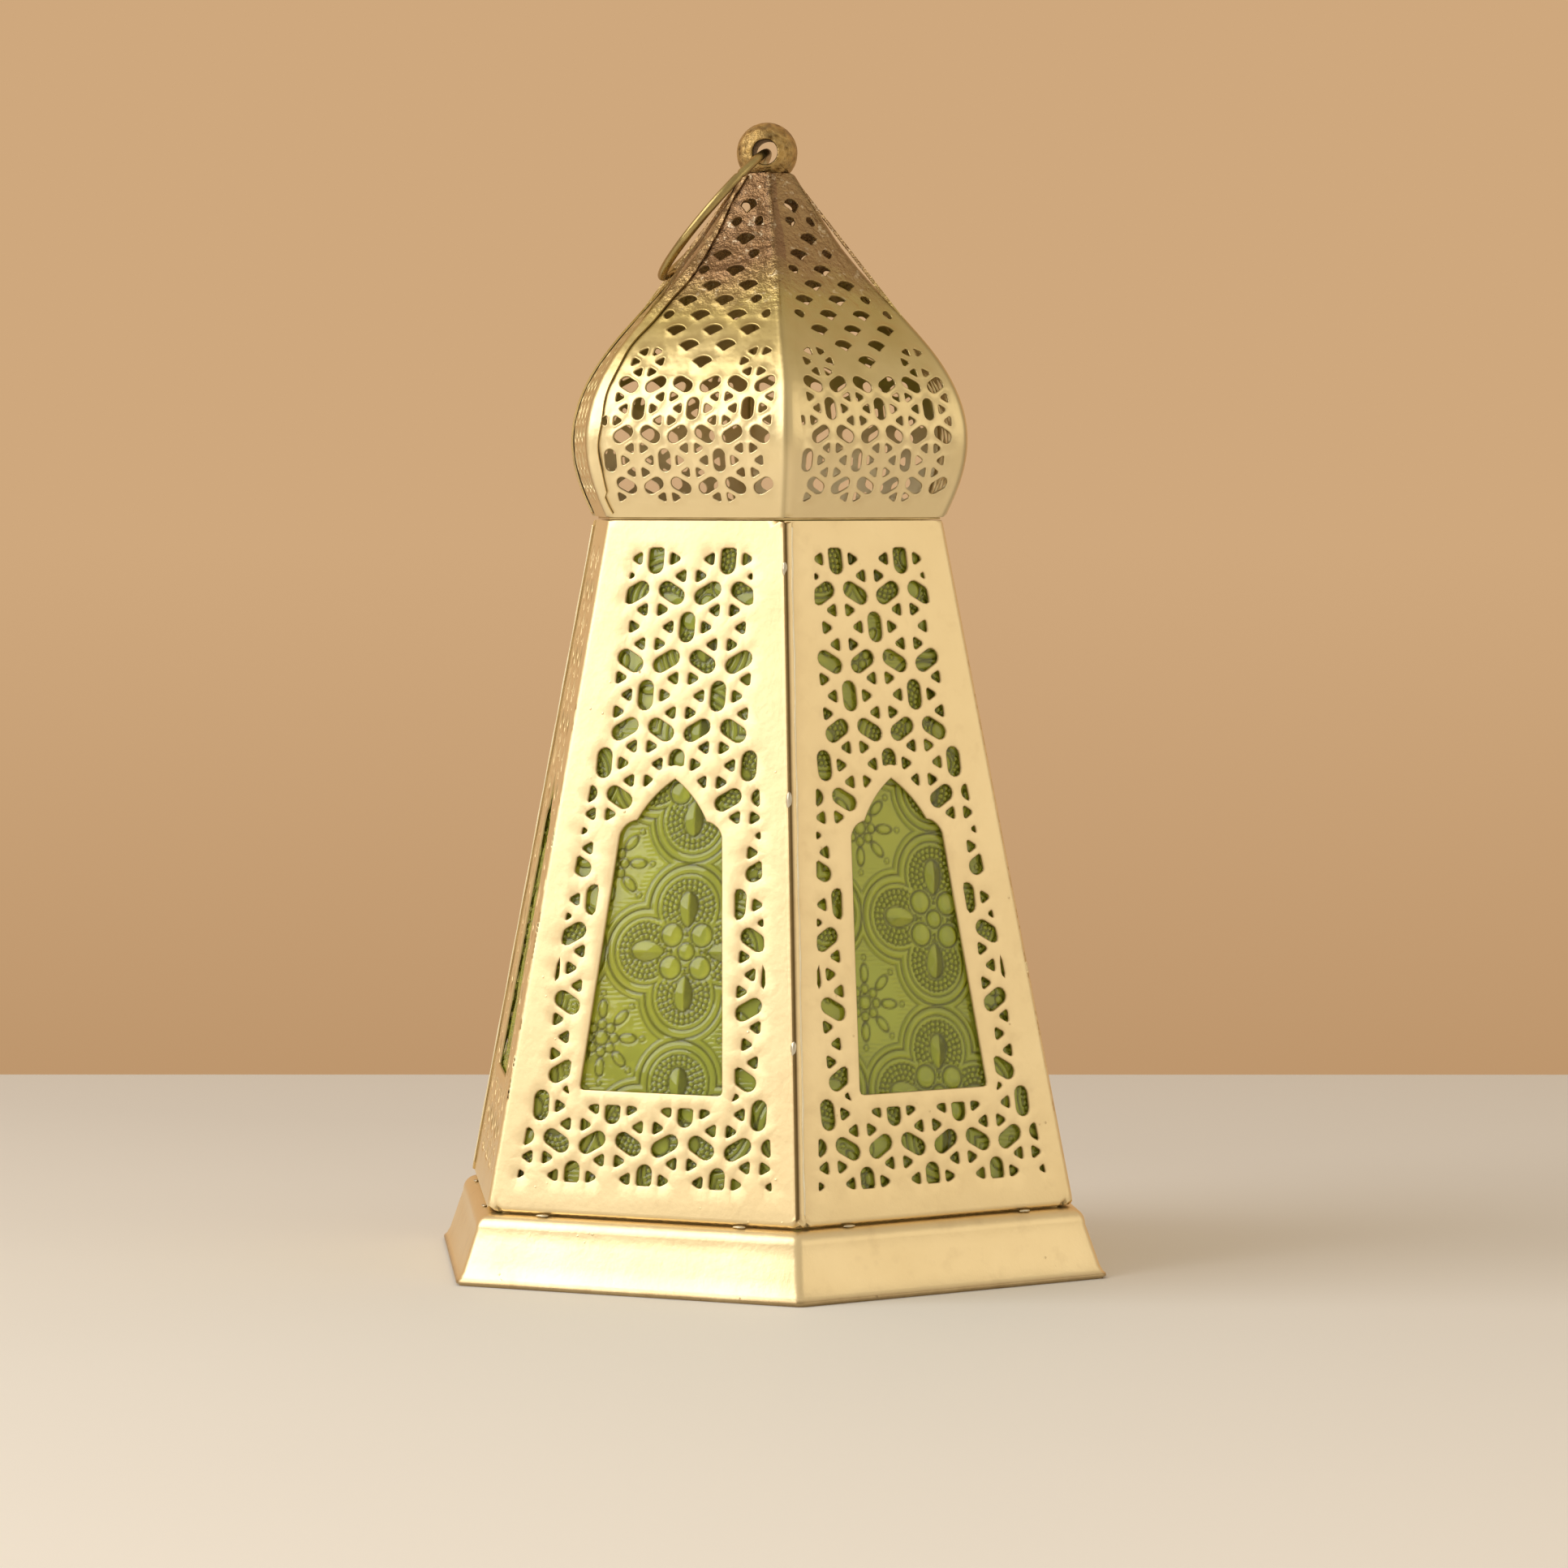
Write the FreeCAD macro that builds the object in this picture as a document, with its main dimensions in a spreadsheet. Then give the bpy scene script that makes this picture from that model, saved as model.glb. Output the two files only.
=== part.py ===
import FreeCAD, Part
import Sketcher
import math
import os

from FreeCAD import Matrix, Placement, Rotation, Vector

# A six-sided pierced sheet-metal candle lantern. Origin: centre of the base, on the surface it stands on.
# +Z is up. A face's azimuth is the turn of its outward normal from -Y towards +X, so the front face is 0,
# the door is 180, and the corners lie at 30, 90, 150, 210, 270 and 330.

SIZES = {
    # base
    "base_corner_radius": 90.6,
    "base_shoulder_radius": 82.0,
    "base_top_z": 16.8,
    "base_sheet": 0.7,
    "base_hem_height": 1.6,
    "base_hem_flare": 0.9,
    "base_bend": 4.0,
    "base_flange": 13.0,
    "base_waist_out": 2.6,
    "base_rim_in": 1.2,
    "base_inner_step": 0.4,
    "base_bow": 0.7,
    "plate_corner_radius": 77.5,
    # body
    "sheet": 0.6,
    "body_bottom_radius": 82.0,
    "body_top_radius": 47.1,
    "body_bottom_z": 17.2,
    "body_top_z": 182.6,
    "seam_gap": 0.3,
    "door_gap": 0.4,
    # pierced pattern of the body
    "lattice_pitch": 19.15,
    "top_row_from_bottom": 158.9,
    "slot_width": 3.8,
    "slot_length": 7.1,
    "triangle_side": 3.6,
    "triangle_corner": 0.5,
    "triangle_reach": 4.8,
    "pattern_foot_half": 33.6,
    "pattern_head_half": 15.4,
    "pattern_top_margin": 6.6,
    "pattern_bottom_margin": 8.3,
    "window_margin": 3.4,
    "least_hole_width": 1.0,
    # window, measured along the face from its lower edge and from its middle
    "window_sill": 30.4,
    "window_sill_half": 18.8,
    "window_shoulder": 91.9,
    "window_shoulder_half": 13.5,
    "window_cusp": 95.5,
    "window_cusp_half": 9.2,
    "window_apex": 105.6,
    "window_bulge": 0.6,
    # glass
    "glass_gap": 0.2,
    "glass_thickness": 2.2,
    "glass_side_inset": 3.2,
    "glass_bottom": 6.0,
    "glass_top_inset": 8.0,
    "clip_sheet": 0.4,
    "clip_width": 6.0,
    "clip_offset": 15.0,
    "clip_lap": 3.0,
    "clip_leg": 4.0,
    "clip_space": 0.3,
    "clip_slack": 0.05,
    "clip_head_share": 0.24,
    # neck and dome
    "neck_z": 182.85,
    "neck_sheet": 0.5,
    "neck_corner_radius": 46.4,
    "neck_bore": 31.0,
    "dome_pitch": 14.5,
    "dome_first_row": 14.5,
    "dome_slot_width": 2.9,
    "dome_slot_length": 5.3,
    "dome_triangle_side": 2.8,
    "dome_triangle_corner": 0.4,
    "dome_pattern_shift": 1.5,
    "dome_side_margin": 3.4,
    "dome_foot_margin": 4.6,
    "dome_reach_share": 0.235,
    "ridge_gap": 0.1,
    "scale_width": 5.2,
    "scale_height": 3.4,
    "scale_top_share": 0.45,
    "scale_hollow": 0.42,
    "scale_pitch": 9.8,
    "scale_row": 4.85,
    "scale_start": 39.6,
    "scale_overreach": 1.2,
    "scale_cut": 1.04,
    "tip_hole_width": 4.2,
    "tip_hole_height": 4.6,
    "tip_hole_up": 88.0,
    "vee_drop": 4.4,
    "vee_slope": 0.95,
    "vee_clear": 1.9,
    # finial and ring
    "ball_radius": 7.5,
    "ball_z": 272.5,
    "ring_hole_radius": 3.0,
    "ring_radius": 19.8,
    "ring_wire": 1.1,
    "ring_azimuth": 20.0,
    "ring_lean": 40.6,
    "screw_radius": 1.5,
    "screw_fit": 0.05,
    "screw_top_z": 269.0,
    "screw_head_radius": 3.0,
    "screw_head_height": 2.0,
    "washer_radius": 6.4,
    "washer_z": 262.0,
    "washer_thickness": 1.0,
    # candle cup and rivets
    "cup_bore": 20.5,
    "cup_height": 13.0,
    "cup_sheet": 0.5,
    "rivet_radius": 1.5,
    "rivet_head": 3.0,
    "rivet_head_height": 0.7,
    "rivet_slack": 0.02,
    # door
    "knuckle_radius": 1.4,
    "knuckle_length": 6.0,
    "knuckle_space": 0.3,
    "hinge_out": 1.75,
    "pin_radius": 0.7,
    "pin_fit": 0.05,
    "pin_head": 1.1,
    "pin_head_height": 0.6,
    "pin_tail": 0.4,
    "leaf_sheet": 0.5,
    "leaf_width": 6.0,
    "hinge_low": 36.0,
    "hinge_high": 128.0,
    "knob_radius": 3.0,
    "knob_stand": 5.0,
    "knob_neck": 1.1,
    "knob_side": 30.6,
    "knob_up": 62.0,
    "catch_width": 8.0,
    "catch_sheet": 0.4,
    "catch_gap": 0.35,
    "catch_height": 4.0,
    "catch_foot": 19.5,
    "catch_lift": 1.2,
    "catch_x": -5.0,
    "catch_rivet_inset": 12.8,
    # solder
    "tack_length": 3.0,
    "tack_stand": 0.6,
    "tack_slack": 0.02,
    "foot_tack_side": 26.0,
    "foot_tack_width": 1.6,
    "crown_tack_radius": 1.2,
    "crown_tack_height": 0.7,
    "crown_tack_inset": 5.5,
}

SIDES = 6
STEP_ANGLE = 360 / SIDES
CORNER = math.radians(STEP_ANGLE / 2)
FLAT = math.cos(CORNER)  # a hexagon's flat-to-centre distance over its corner radius
SIDE_OF_FLAT = math.tan(CORNER)  # half a side over the flat-to-centre distance

# The dome's outside on the middle line of a petal: distance from the axis and height.
DOME_PROFILE = [
    (41.0, 183.4),
    (43.9, 190.3),
    (46.2, 201.5),
    (42.7, 216.1),
    (32.0, 231.0),
    (18.9, 246.5),
    (8.0, 263.6),
    (5.7, 267.4),
]

FIXED_GLASS = {"front": 0, "front_right": 60, "rear_right": 120, "rear_left": 240, "front_left": 300}
PETALS = {"front": 0, "front_right": 60, "rear_right": 120, "rear": 180, "rear_left": 240, "front_left": 300}
DOOR_AZIMUTH = 180
HINGE_AZIMUTH = 150

doc = FreeCAD.newDocument("candle_lantern")
sheet = doc.addObject("Spreadsheet::Sheet", "Sizes")
for row, (alias, value) in enumerate(SIZES.items(), 1):
    sheet.set(f"A{row}", alias)
    sheet.set(f"B{row}", str(value))
    sheet.setAlias(f"B{row}", alias)
doc.recompute()

nodes = []


def size(alias):
    return float(sheet.get(alias))


def keep(piece, label):
    """Marks a document object as one sub-part of the lantern, named by its label."""
    piece.Label = label
    nodes.append(piece)
    return piece


def bind(piece, **formulas):
    """Ties an object's properties to the sheet, where a name in braces is an alias."""
    for prop, formula in formulas.items():
        piece.setExpression(prop, formula.replace("{", "Sizes.").replace("}", ""))
    return piece


def feature(label, shape, placement=None):
    """A sub-part whose shape no primitive or sketch gives: its sizes come from the sheet through size()."""
    piece = doc.addObject("Part::Feature", label)
    piece.Shape = shape
    piece.Placement = placement or Placement()
    return keep(piece, label)


def turn_about_axis(azimuth):
    return Placement(Vector(), Rotation(Vector(0, 0, 1), azimuth))


def outward(azimuth):
    angle = math.radians(azimuth)
    return Vector(math.sin(angle), -math.cos(angle), 0)


# ---------------------------------------------------------------- faces of the tapered body

BODY_FOOT = size("body_bottom_radius") * FLAT
BODY_HEAD = size("body_top_radius") * FLAT
BODY_RISE = size("body_top_z") - size("body_bottom_z")
SLANT = math.hypot(BODY_FOOT - BODY_HEAD, BODY_RISE)
LEAN = math.asin((BODY_FOOT - BODY_HEAD) / SLANT)
# The angle between the outward normals of two neighbouring faces.
BEND = math.acos(math.cos(LEAN) ** 2 * math.cos(2 * CORNER) + math.sin(LEAN) ** 2)


def face_frame(azimuth):
    """Local X runs along a body face, Y up its slope from the lower edge, and Z outward."""
    up = Vector(0, (BODY_FOOT - BODY_HEAD) / SLANT, BODY_RISE / SLANT)
    out = Vector(1, 0, 0).cross(up)
    start = Vector(0, -BODY_FOOT, size("body_bottom_z"))
    frame = Matrix(1, up.x, out.x, start.x, 0, up.y, out.y, start.y, 0, up.z, out.z, start.z, 0, 0, 0, 1)
    return turn_about_axis(azimuth).multiply(Placement(frame))


def half_width(up):
    """Half the width of a body face at a distance up its slope."""
    share = up / SLANT
    return (BODY_FOOT * (1 - share) + BODY_HEAD * share) * SIDE_OF_FLAT


def polygon_wire(points, level=0):
    corners = [Vector(x, y, level) for x, y in points]
    return Part.makePolygon(corners + corners[:1])


def trapezoid(low, high, left, right, level=0):
    """A face's outline between two distances up its slope, narrowed by an inset on each side."""
    bottom = half_width(low)
    top = half_width(high)
    corners = [(left - bottom, low), (bottom - right, low), (top - right, high), (left - top, high)]
    return polygon_wire(corners, level)


def plate_blank(low, high, left, right):
    """A flat sheet on one face. Its side edges are mitred, so that two such sheets meet at the corner."""
    mitre = size("sheet") * math.tan(BEND / 2)
    outer = trapezoid(low, high, left, right)
    inner = trapezoid(low, high, left + mitre, right + mitre, -size("sheet"))
    return Part.makeLoft([outer, inner], True, True)


def arc(a, b, c):
    return Part.Arc(Vector(*a, 0), Vector(*b, 0), Vector(*c, 0)).toShape()


def line(a, b):
    return Part.LineSegment(Vector(*a, 0), Vector(*b, 0)).toShape()


def window_wire():
    """A pointed arch on two small shoulders, over sides that follow the face's taper."""
    sill = (size("window_sill_half"), size("window_sill"))
    shoulder = (size("window_shoulder_half"), size("window_shoulder"))
    cusp = (size("window_cusp_half"), size("window_cusp"))
    apex = (0, size("window_apex"))
    bulge = size("window_bulge")
    edges = []
    for side in (1, -1):
        low = (side * sill[0], sill[1])
        high = (side * shoulder[0], shoulder[1])
        notch = (side * cusp[0], cusp[1])
        lobe = (side * ((shoulder[0] + cusp[0]) / 2 + bulge), (shoulder[1] + cusp[1]) / 2 + bulge)
        sweep = (side * (cusp[0] / 2 + bulge), (cusp[1] + apex[1]) / 2 + bulge)
        edges += [line(low, high), arc(high, lobe, notch), arc(notch, sweep, apex)]
    edges.append(line((-sill[0], sill[1]), sill))
    return Part.Wire(Part.__sortEdges__(edges))


# ---------------------------------------------------------------- pierced pattern


def placed(shape, x, y, turn):
    shape.Placement = Placement(Vector(x, y, 0), Rotation(Vector(0, 0, 1), turn))
    return shape


def slot_face(width, length):
    """A round-ended slot, long along Y."""
    half = width / 2
    straight = (length - width) / 2
    edges = [
        line((half, -straight), (half, straight)),
        arc((half, straight), (0, straight + half), (-half, straight)),
        line((-half, straight), (-half, -straight)),
        arc((-half, -straight), (0, -straight - half), (half, -straight)),
    ]
    return Part.Face(Part.Wire(edges))


def triangle_face(side, corner):
    """A round-cornered triangle with one corner towards +X."""
    reach = side / math.sqrt(3) - 2 * corner

    def spoke(length, degrees):
        return Rotation(Vector(0, 0, 1), degrees).multVec(Vector(length, 0, 0))

    edges = []
    for heading in (0, 120, 240):
        centre = spoke(reach, heading)
        start, middle, end = (centre + spoke(corner, heading + swing) for swing in (-60, 0, 60))
        onward = spoke(reach, heading + 120) + spoke(corner, heading + 60)
        edges.append(Part.Arc(start, middle, end).toShape())
        edges.append(Part.LineSegment(end, onward).toShape())
    return Part.Face(Part.Wire(edges))


def scale_face(width, height):
    """A fish scale: a round top over two hollow sides that meet in a point below."""
    half = width / 2
    top = size("scale_top_share") * height
    foot = top - height
    dip = size("scale_hollow")
    edges = [
        arc((half, 0), (0, top), (-half, 0)),
        arc((-half, 0), (-dip * half, dip * foot), (0, foot)),
        arc((0, foot), (dip * half, dip * foot), (half, 0)),
    ]
    return Part.Face(Part.Wire(edges))


def lattice(pitch, rows, columns, first_up, reach, slot, triangle):
    """The holes of a triangular lattice: a ring of six triangles round each of its points, each with one
    corner to the point, and a slot across the middle of each of its bonds. Yields shape, x, y and turn."""
    rise = pitch * math.sqrt(3) / 2
    for row in rows:
        up = first_up + row * rise
        for column in columns:
            across = pitch * (column + (row % 2) / 2)
            for spoke in range(0, 360, 60):
                angle = math.radians(spoke)
                x = across + reach * math.cos(angle)
                yield triangle, x, up + reach * math.sin(angle), spoke + 180
            for bond in (0, 60, 120):
                angle = math.radians(bond)
                x = across + pitch / 2 * math.cos(angle)
                yield slot, x, up + pitch / 2 * math.sin(angle), bond


def drilled(face, depth):
    """The prism that a punch of this outline leaves empty, through a sheet whose outside is at level 0."""
    spare = 1.0
    tool = face.copy()
    tool.translate(Vector(0, 0, spare))
    return tool.extrude(Vector(0, 0, -depth - 2 * spare))


def body_holes():
    """Every hole of one face in its local frame, with those that cross the pattern's edge cut short."""
    slot = slot_face(size("slot_width"), size("slot_length"))
    triangle = triangle_face(size("triangle_side"), size("triangle_corner"))
    low = size("pattern_bottom_margin")
    high = SLANT - size("pattern_top_margin")
    foot = size("pattern_foot_half")
    head = size("pattern_head_half")
    field = Part.Face(polygon_wire([(-foot, low), (foot, low), (head, high), (-head, high)]))
    keep_off = Part.Face(window_wire().makeOffset2D(size("window_margin")))
    field = field.cut(keep_off)
    holes = []
    rise = size("lattice_pitch") * math.sqrt(3) / 2
    first = size("top_row_from_bottom") - 10 * rise
    cells = lattice(
        size("lattice_pitch"), range(0, 12), range(-3, 3), first, size("triangle_reach"), slot, triangle
    )
    for shape, x, y, turn in cells:
        holes.append(placed(shape.copy(), x, y, turn))
    clipped = Part.makeCompound(holes).common(field)
    least = size("least_hole_width")
    return [face for face in clipped.Faces if min(face.BoundBox.XLength, face.BoundBox.YLength) > least]


def pierced_plate(low, high, left, right, holes):
    blank = plate_blank(low, high, left, right)
    cutters = [drilled(face, size("sheet")) for face in holes]
    cutters.append(drilled(Part.Face(window_wire()), size("sheet")))
    return blank.cut(Part.makeCompound(cutters))


def body_sheets():
    """Two sheets that each wrap two faces, a single sheet at the rear left, and the door."""
    holes = body_holes()
    seam = size("seam_gap") / 2
    gap = size("door_gap")
    near = pierced_plate(0, SLANT, seam, 0, holes)
    near.Placement = face_frame(0)
    for label, azimuth, edge in (("body_sheet_left", -60, seam), ("body_sheet_right", 60, gap)):
        far = pierced_plate(0, SLANT, 0, edge, holes)
        far.Placement = face_frame(60)
        feature(label, near.fuse(far).removeSplitter(), turn_about_axis(azimuth))
    feature("body_sheet_rear", pierced_plate(0, SLANT, seam, seam, holes), face_frame(240))
    knob_hole = Part.makeCircle(size("knob_neck"), Vector(size("knob_side"), size("knob_up"), 0))
    holes.append(Part.Face(Part.Wire(knob_hole)))
    feature("door_panel", pierced_plate(gap, SLANT - gap, gap, gap, holes), face_frame(DOOR_AZIMUTH))


# ---------------------------------------------------------------- glass and its clips


def glass_pane(label, azimuth):
    """A flat pane, padded from a sketch of its trapezoid on the plane behind the sheet."""
    body = doc.addObject("PartDesign::Body", label)
    sketch = body.newObject("Sketcher::SketchObject", label + "_outline")
    plane = next(item for item in body.Origin.OriginFeatures if item.Role == "XY_Plane")
    sketch.AttachmentSupport = [(plane, "")]
    sketch.MapMode = "FlatFace"
    low = size("glass_bottom")
    high = SLANT - size("glass_top_inset")
    bottom = half_width(low) - size("glass_side_inset")
    top = half_width(high) - size("glass_side_inset")
    corners = [(-bottom, low), (bottom, low), (top, high), (-top, high)]
    for index in range(4):
        start = Vector(*corners[index], 0)
        end = Vector(*corners[(index + 1) % 4], 0)
        sketch.addGeometry(Part.LineSegment(start, end), False)
    for index in range(4):
        sketch.addConstraint(Sketcher.Constraint("Coincident", index, 2, (index + 1) % 4, 1))
    sketch.addConstraint(Sketcher.Constraint("Symmetric", 0, 1, 0, 2, -2))
    sketch.addConstraint(Sketcher.Constraint("Symmetric", 2, 1, 2, 2, -2))
    dimensions = {"bottom_width": (0, 2 * bottom), "top_width": (2, 2 * top)}
    for name, (edge, length) in dimensions.items():
        index = sketch.addConstraint(Sketcher.Constraint("Distance", edge, length))
        sketch.renameConstraint(index, name)
    index = sketch.addConstraint(Sketcher.Constraint("DistanceY", -1, 1, 0, 1, low))
    sketch.renameConstraint(index, "low")
    index = sketch.addConstraint(Sketcher.Constraint("DistanceY", 1, 1, 1, 2, high - low))
    sketch.renameConstraint(index, "rise")
    bind(sketch, **{"Constraints.low": "{glass_bottom}"})
    pad = body.newObject("PartDesign::Pad", label + "_pad")
    pad.Profile = sketch
    pad.Reversed = True
    bind(pad, Length="{glass_thickness}")
    behind = Placement(Vector(0, 0, -size("sheet") - size("glass_gap")), Rotation())
    body.Placement = face_frame(azimuth).multiply(behind)
    return keep(body, label)


def clip_solids():
    """Four bent tabs soldered behind a face, two at the pane's foot and two at its head."""
    inside = -size("sheet")
    glass_back = inside - size("glass_gap") - size("glass_thickness")
    tab = size("clip_sheet")
    back = glass_back - size("clip_slack")
    leg = size("clip_leg")
    solids = []
    for edge, away in ((size("glass_bottom"), -1), (SLANT - size("glass_top_inset"), 1)):
        near = edge + away * size("clip_space")
        section = [
            (near + away * leg, inside),
            (near, inside),
            (near, back),
            (edge - away * size("clip_lap"), back),
            (edge - away * size("clip_lap"), back - tab),
            (near + away * tab, back - tab),
            (near + away * tab, inside - tab),
            (near + away * leg, inside - tab),
        ]
        corners = [Vector(0, y, z) for y, z in section]
        face = Part.Face(Part.makePolygon(corners + corners[:1]))
        for side in (-1, 1):
            solid = face.extrude(Vector(size("clip_width"), 0, 0))
            offset = side * size("clip_offset") * (1 if away < 0 else size("clip_head_share"))
            solid.translate(Vector(offset - size("clip_width") / 2, 0, 0))
            solids.append(solid)
    return solids


def glazing():
    for place, azimuth in FIXED_GLASS.items():
        glass_pane("glass_" + place, azimuth)
    glass_pane("door_glass", DOOR_AZIMUTH)
    fixed = []
    for azimuth in FIXED_GLASS.values():
        for solid in clip_solids():
            solid.Placement = face_frame(azimuth).multiply(solid.Placement)
            fixed.append(solid)
    feature("glass_clips", Part.makeCompound(fixed))
    feature("door_glass_clips", Part.makeCompound(clip_solids()), face_frame(DOOR_AZIMUTH))


# ---------------------------------------------------------------- base


def sector(low, high, reach):
    """The wedge between two neighbouring corners, round the front face."""
    half = reach * SIDE_OF_FLAT
    corners = [Vector(0, 0, low), Vector(-half, -reach, low), Vector(half, -reach, low)]
    return Part.Face(Part.makePolygon(corners + corners[:1])).extrude(Vector(0, 0, high - low))


def hexagonal(section, low, high):
    """A six-sided shell whose section through the middle of a side is the given face in the YZ plane."""
    reach = size("base_corner_radius") * 1.2
    bar = section.copy()
    bar.translate(Vector(-reach, 0, 0))
    side = bar.extrude(Vector(2 * reach, 0, 0)).common(sector(low - 1, high + 1, reach))
    sides = []
    for index in range(SIDES):
        piece = side.copy()
        piece.rotate(Vector(), Vector(0, 0, 1), STEP_ANGLE * index)
        sides.append(piece)
    return sides[0].multiFuse(sides[1:]).removeSplitter()


def base_skirt():
    """A flared skirt with a small hem, rounded into a flat flange that carries the body."""
    thick = size("base_sheet")
    foot = size("base_corner_radius") * FLAT
    shoulder = size("base_shoulder_radius") * FLAT
    top = size("base_top_z")
    hem = size("base_hem_height")
    flare = size("base_hem_flare")
    bend = size("base_bend")
    waist = shoulder + size("base_waist_out")
    rim = shoulder - size("base_rim_in")
    inner_rim = rim - size("base_inner_step")
    inner_waist = waist - thick
    inner_end = shoulder - size("base_flange")
    bow = size("base_bow")
    edges_out = [(foot, 0), (foot - flare, hem), (waist, top - bend), (rim, top), (inner_end, top)]
    outer = [Vector(0, -y, z) for y, z in edges_out]
    edges_in = [
        (inner_end, top - thick),
        (inner_rim, top - thick),
        (inner_waist, top - bend - size("base_inner_step")),
        (foot - flare - thick, hem),
        (foot - thick, 0),
    ]
    inner = [Vector(0, -y, z) for y, z in edges_in]
    crest = Vector(0, -(waist + rim) / 2 - bow, top - bend / 2 + bow)
    hollow = Vector(0, -(inner_waist + inner_rim) / 2 - bow, top - bend / 2 - thick + bow)
    edges = [
        Part.LineSegment(outer[0], outer[1]),
        Part.LineSegment(outer[1], outer[2]),
        Part.Arc(outer[2], crest, outer[3]),
        Part.LineSegment(outer[3], outer[4]),
        Part.LineSegment(outer[4], inner[0]),
        Part.LineSegment(inner[0], inner[1]),
        Part.Arc(inner[1], hollow, inner[2]),
        Part.LineSegment(inner[2], inner[3]),
        Part.LineSegment(inner[3], inner[4]),
        Part.LineSegment(inner[4], outer[0]),
    ]
    section = Part.Face(Part.Wire([edge.toShape() for edge in edges]))
    feature("base_skirt", hexagonal(section, 0, top))


def hexagon_plate(name, radius, thickness, level):
    """A hexagonal sheet with its corners at the lantern's corners."""
    outline = doc.addObject("Part::RegularPolygon", name + "_outline")
    outline.Polygon = SIDES
    bind(outline, Circumradius=radius)
    plate = doc.addObject("Part::Extrusion", name + "_blank")
    plate.Base = outline
    plate.DirMode = "Custom"
    plate.Dir = Vector(0, 0, 1)
    plate.Solid = True
    bind(plate, LengthFwd=thickness)
    bind(outline, **{"Placement.Base.z": level})
    return plate


def cylinder(name, radius, height, level, x="0", y="0"):
    piece = doc.addObject("Part::Cylinder", name)
    bind(piece, Radius=radius, Height=height)
    bind(piece, **{"Placement.Base.x": x, "Placement.Base.y": y, "Placement.Base.z": level})
    return piece


def cut(name, base, tool):
    piece = doc.addObject("Part::Cut", name)
    piece.Base = base
    piece.Tool = tool
    return piece


def fuse(name, parts):
    piece = doc.addObject("Part::MultiFuse", name)
    piece.Shapes = parts
    return piece


CATCH_X = "{catch_x}"
CATCH_Y = "{plate_corner_radius} * cos(30) - {catch_rivet_inset}"
PLATE_TOP = "{base_top_z} + {sheet}"


def base_plate():
    blank = hexagon_plate("base_plate", "{plate_corner_radius}", "{sheet}", "{base_top_z}")
    middle = cylinder("plate_middle_hole", "{rivet_radius}", "3", "{base_top_z} - 1")
    side = cylinder("plate_catch_hole", "{rivet_radius}", "3", "{base_top_z} - 1", CATCH_X, CATCH_Y)
    keep(cut("base_plate", blank, fuse("plate_holes", [middle, side])), "base_plate")


def candle_cup():
    """A drawn cup for a tealight, riveted to the middle of the plate."""
    outside = cylinder("cup_outside", "{cup_bore} + {cup_sheet}", "{cup_height}", PLATE_TOP)
    inside = cylinder("cup_inside", "{cup_bore}", "{cup_height}", PLATE_TOP + " + {cup_sheet}")
    hole = cylinder("cup_hole", "{rivet_radius}", "3", PLATE_TOP + " - 1")
    keep(cut("candle_cup", outside, fuse("cup_space", [inside, hole])), "candle_cup")


def rivet(name, grip, x="0", y="0"):
    """A rivet through the plate and what lies on it, with a flat head on each side."""
    top = PLATE_TOP + " + " + grip
    shank_radius = "{rivet_radius} - {rivet_slack}"
    shank = cylinder(name + "_shank", shank_radius, "{sheet} + " + grip, "{base_top_z}", x, y)
    head = cylinder(name + "_head", "{rivet_head}", "{rivet_head_height}", top, x, y)
    tail_level = "{base_top_z} - {rivet_head_height}"
    tail = cylinder(name + "_tail", "{rivet_head}", "{rivet_head_height}", tail_level, x, y)
    keep(fuse(name, [shank, head, tail]), name)


def catch_spring():
    """A bent leaf that stands just behind the door's foot and steadies it when it's shut."""
    leaf = size("catch_sheet")
    frame = face_frame(DOOR_AZIMUTH)
    floor = size("base_top_z") + size("sheet")
    inside = -size("sheet") - size("catch_gap")
    foot = frame.multVec(Vector(0, size("catch_lift"), inside))
    head = frame.multVec(Vector(0, size("catch_lift") + size("catch_height"), inside))
    lean = (head - foot).normalize()
    start = foot - lean * ((foot.z - floor) / lean.z)
    step = leaf / lean.z
    far = start.y - size("catch_foot")
    corners = [
        Vector(0, start.y, floor),
        Vector(0, head.y, head.z),
        Vector(0, head.y - leaf, head.z),
        Vector(0, start.y - step - leaf * abs(lean.y / lean.z), floor + leaf),
        Vector(0, far, floor + leaf),
        Vector(0, far, floor),
    ]
    leaf_solid = Part.Face(Part.makePolygon(corners + corners[:1])).extrude(Vector(size("catch_width"), 0, 0))
    leaf_solid.translate(Vector(size("catch_x") - size("catch_width") / 2, 0, 0))
    rivet_y = size("plate_corner_radius") * FLAT - size("catch_rivet_inset")
    hole = Part.makeCylinder(size("rivet_radius"), 3, Vector(size("catch_x"), rivet_y, floor - 1))
    feature("catch_spring", leaf_solid.cut(hole))


# ---------------------------------------------------------------- neck and dome


def neck_ring():
    blank = hexagon_plate("neck_ring", "{neck_corner_radius}", "{neck_sheet}", "{neck_z}")
    bore = cylinder("neck_bore", "{neck_bore}", "3", "{neck_z} - 1")
    keep(cut("neck_ring", blank, bore), "neck_ring")


def dome_curve():
    curve = Part.BSplineCurve()
    curve.interpolate([Vector(0, -y, z) for y, z in DOME_PROFILE])
    return curve


def curve_stations(curve, count):
    """Distance along the dome's profile, point, tangent and outward normal at even steps."""
    stations = []
    for index in range(count + 1):
        share = index / count
        value = curve.FirstParameter + share * (curve.LastParameter - curve.FirstParameter)
        point = curve.value(value)
        along = curve.tangent(value)[0]
        out = Vector(1, 0, 0).cross(along).normalize()
        length = curve.length(curve.FirstParameter, value) if index else 0
        stations.append((length, point, along, out))
    return stations


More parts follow.
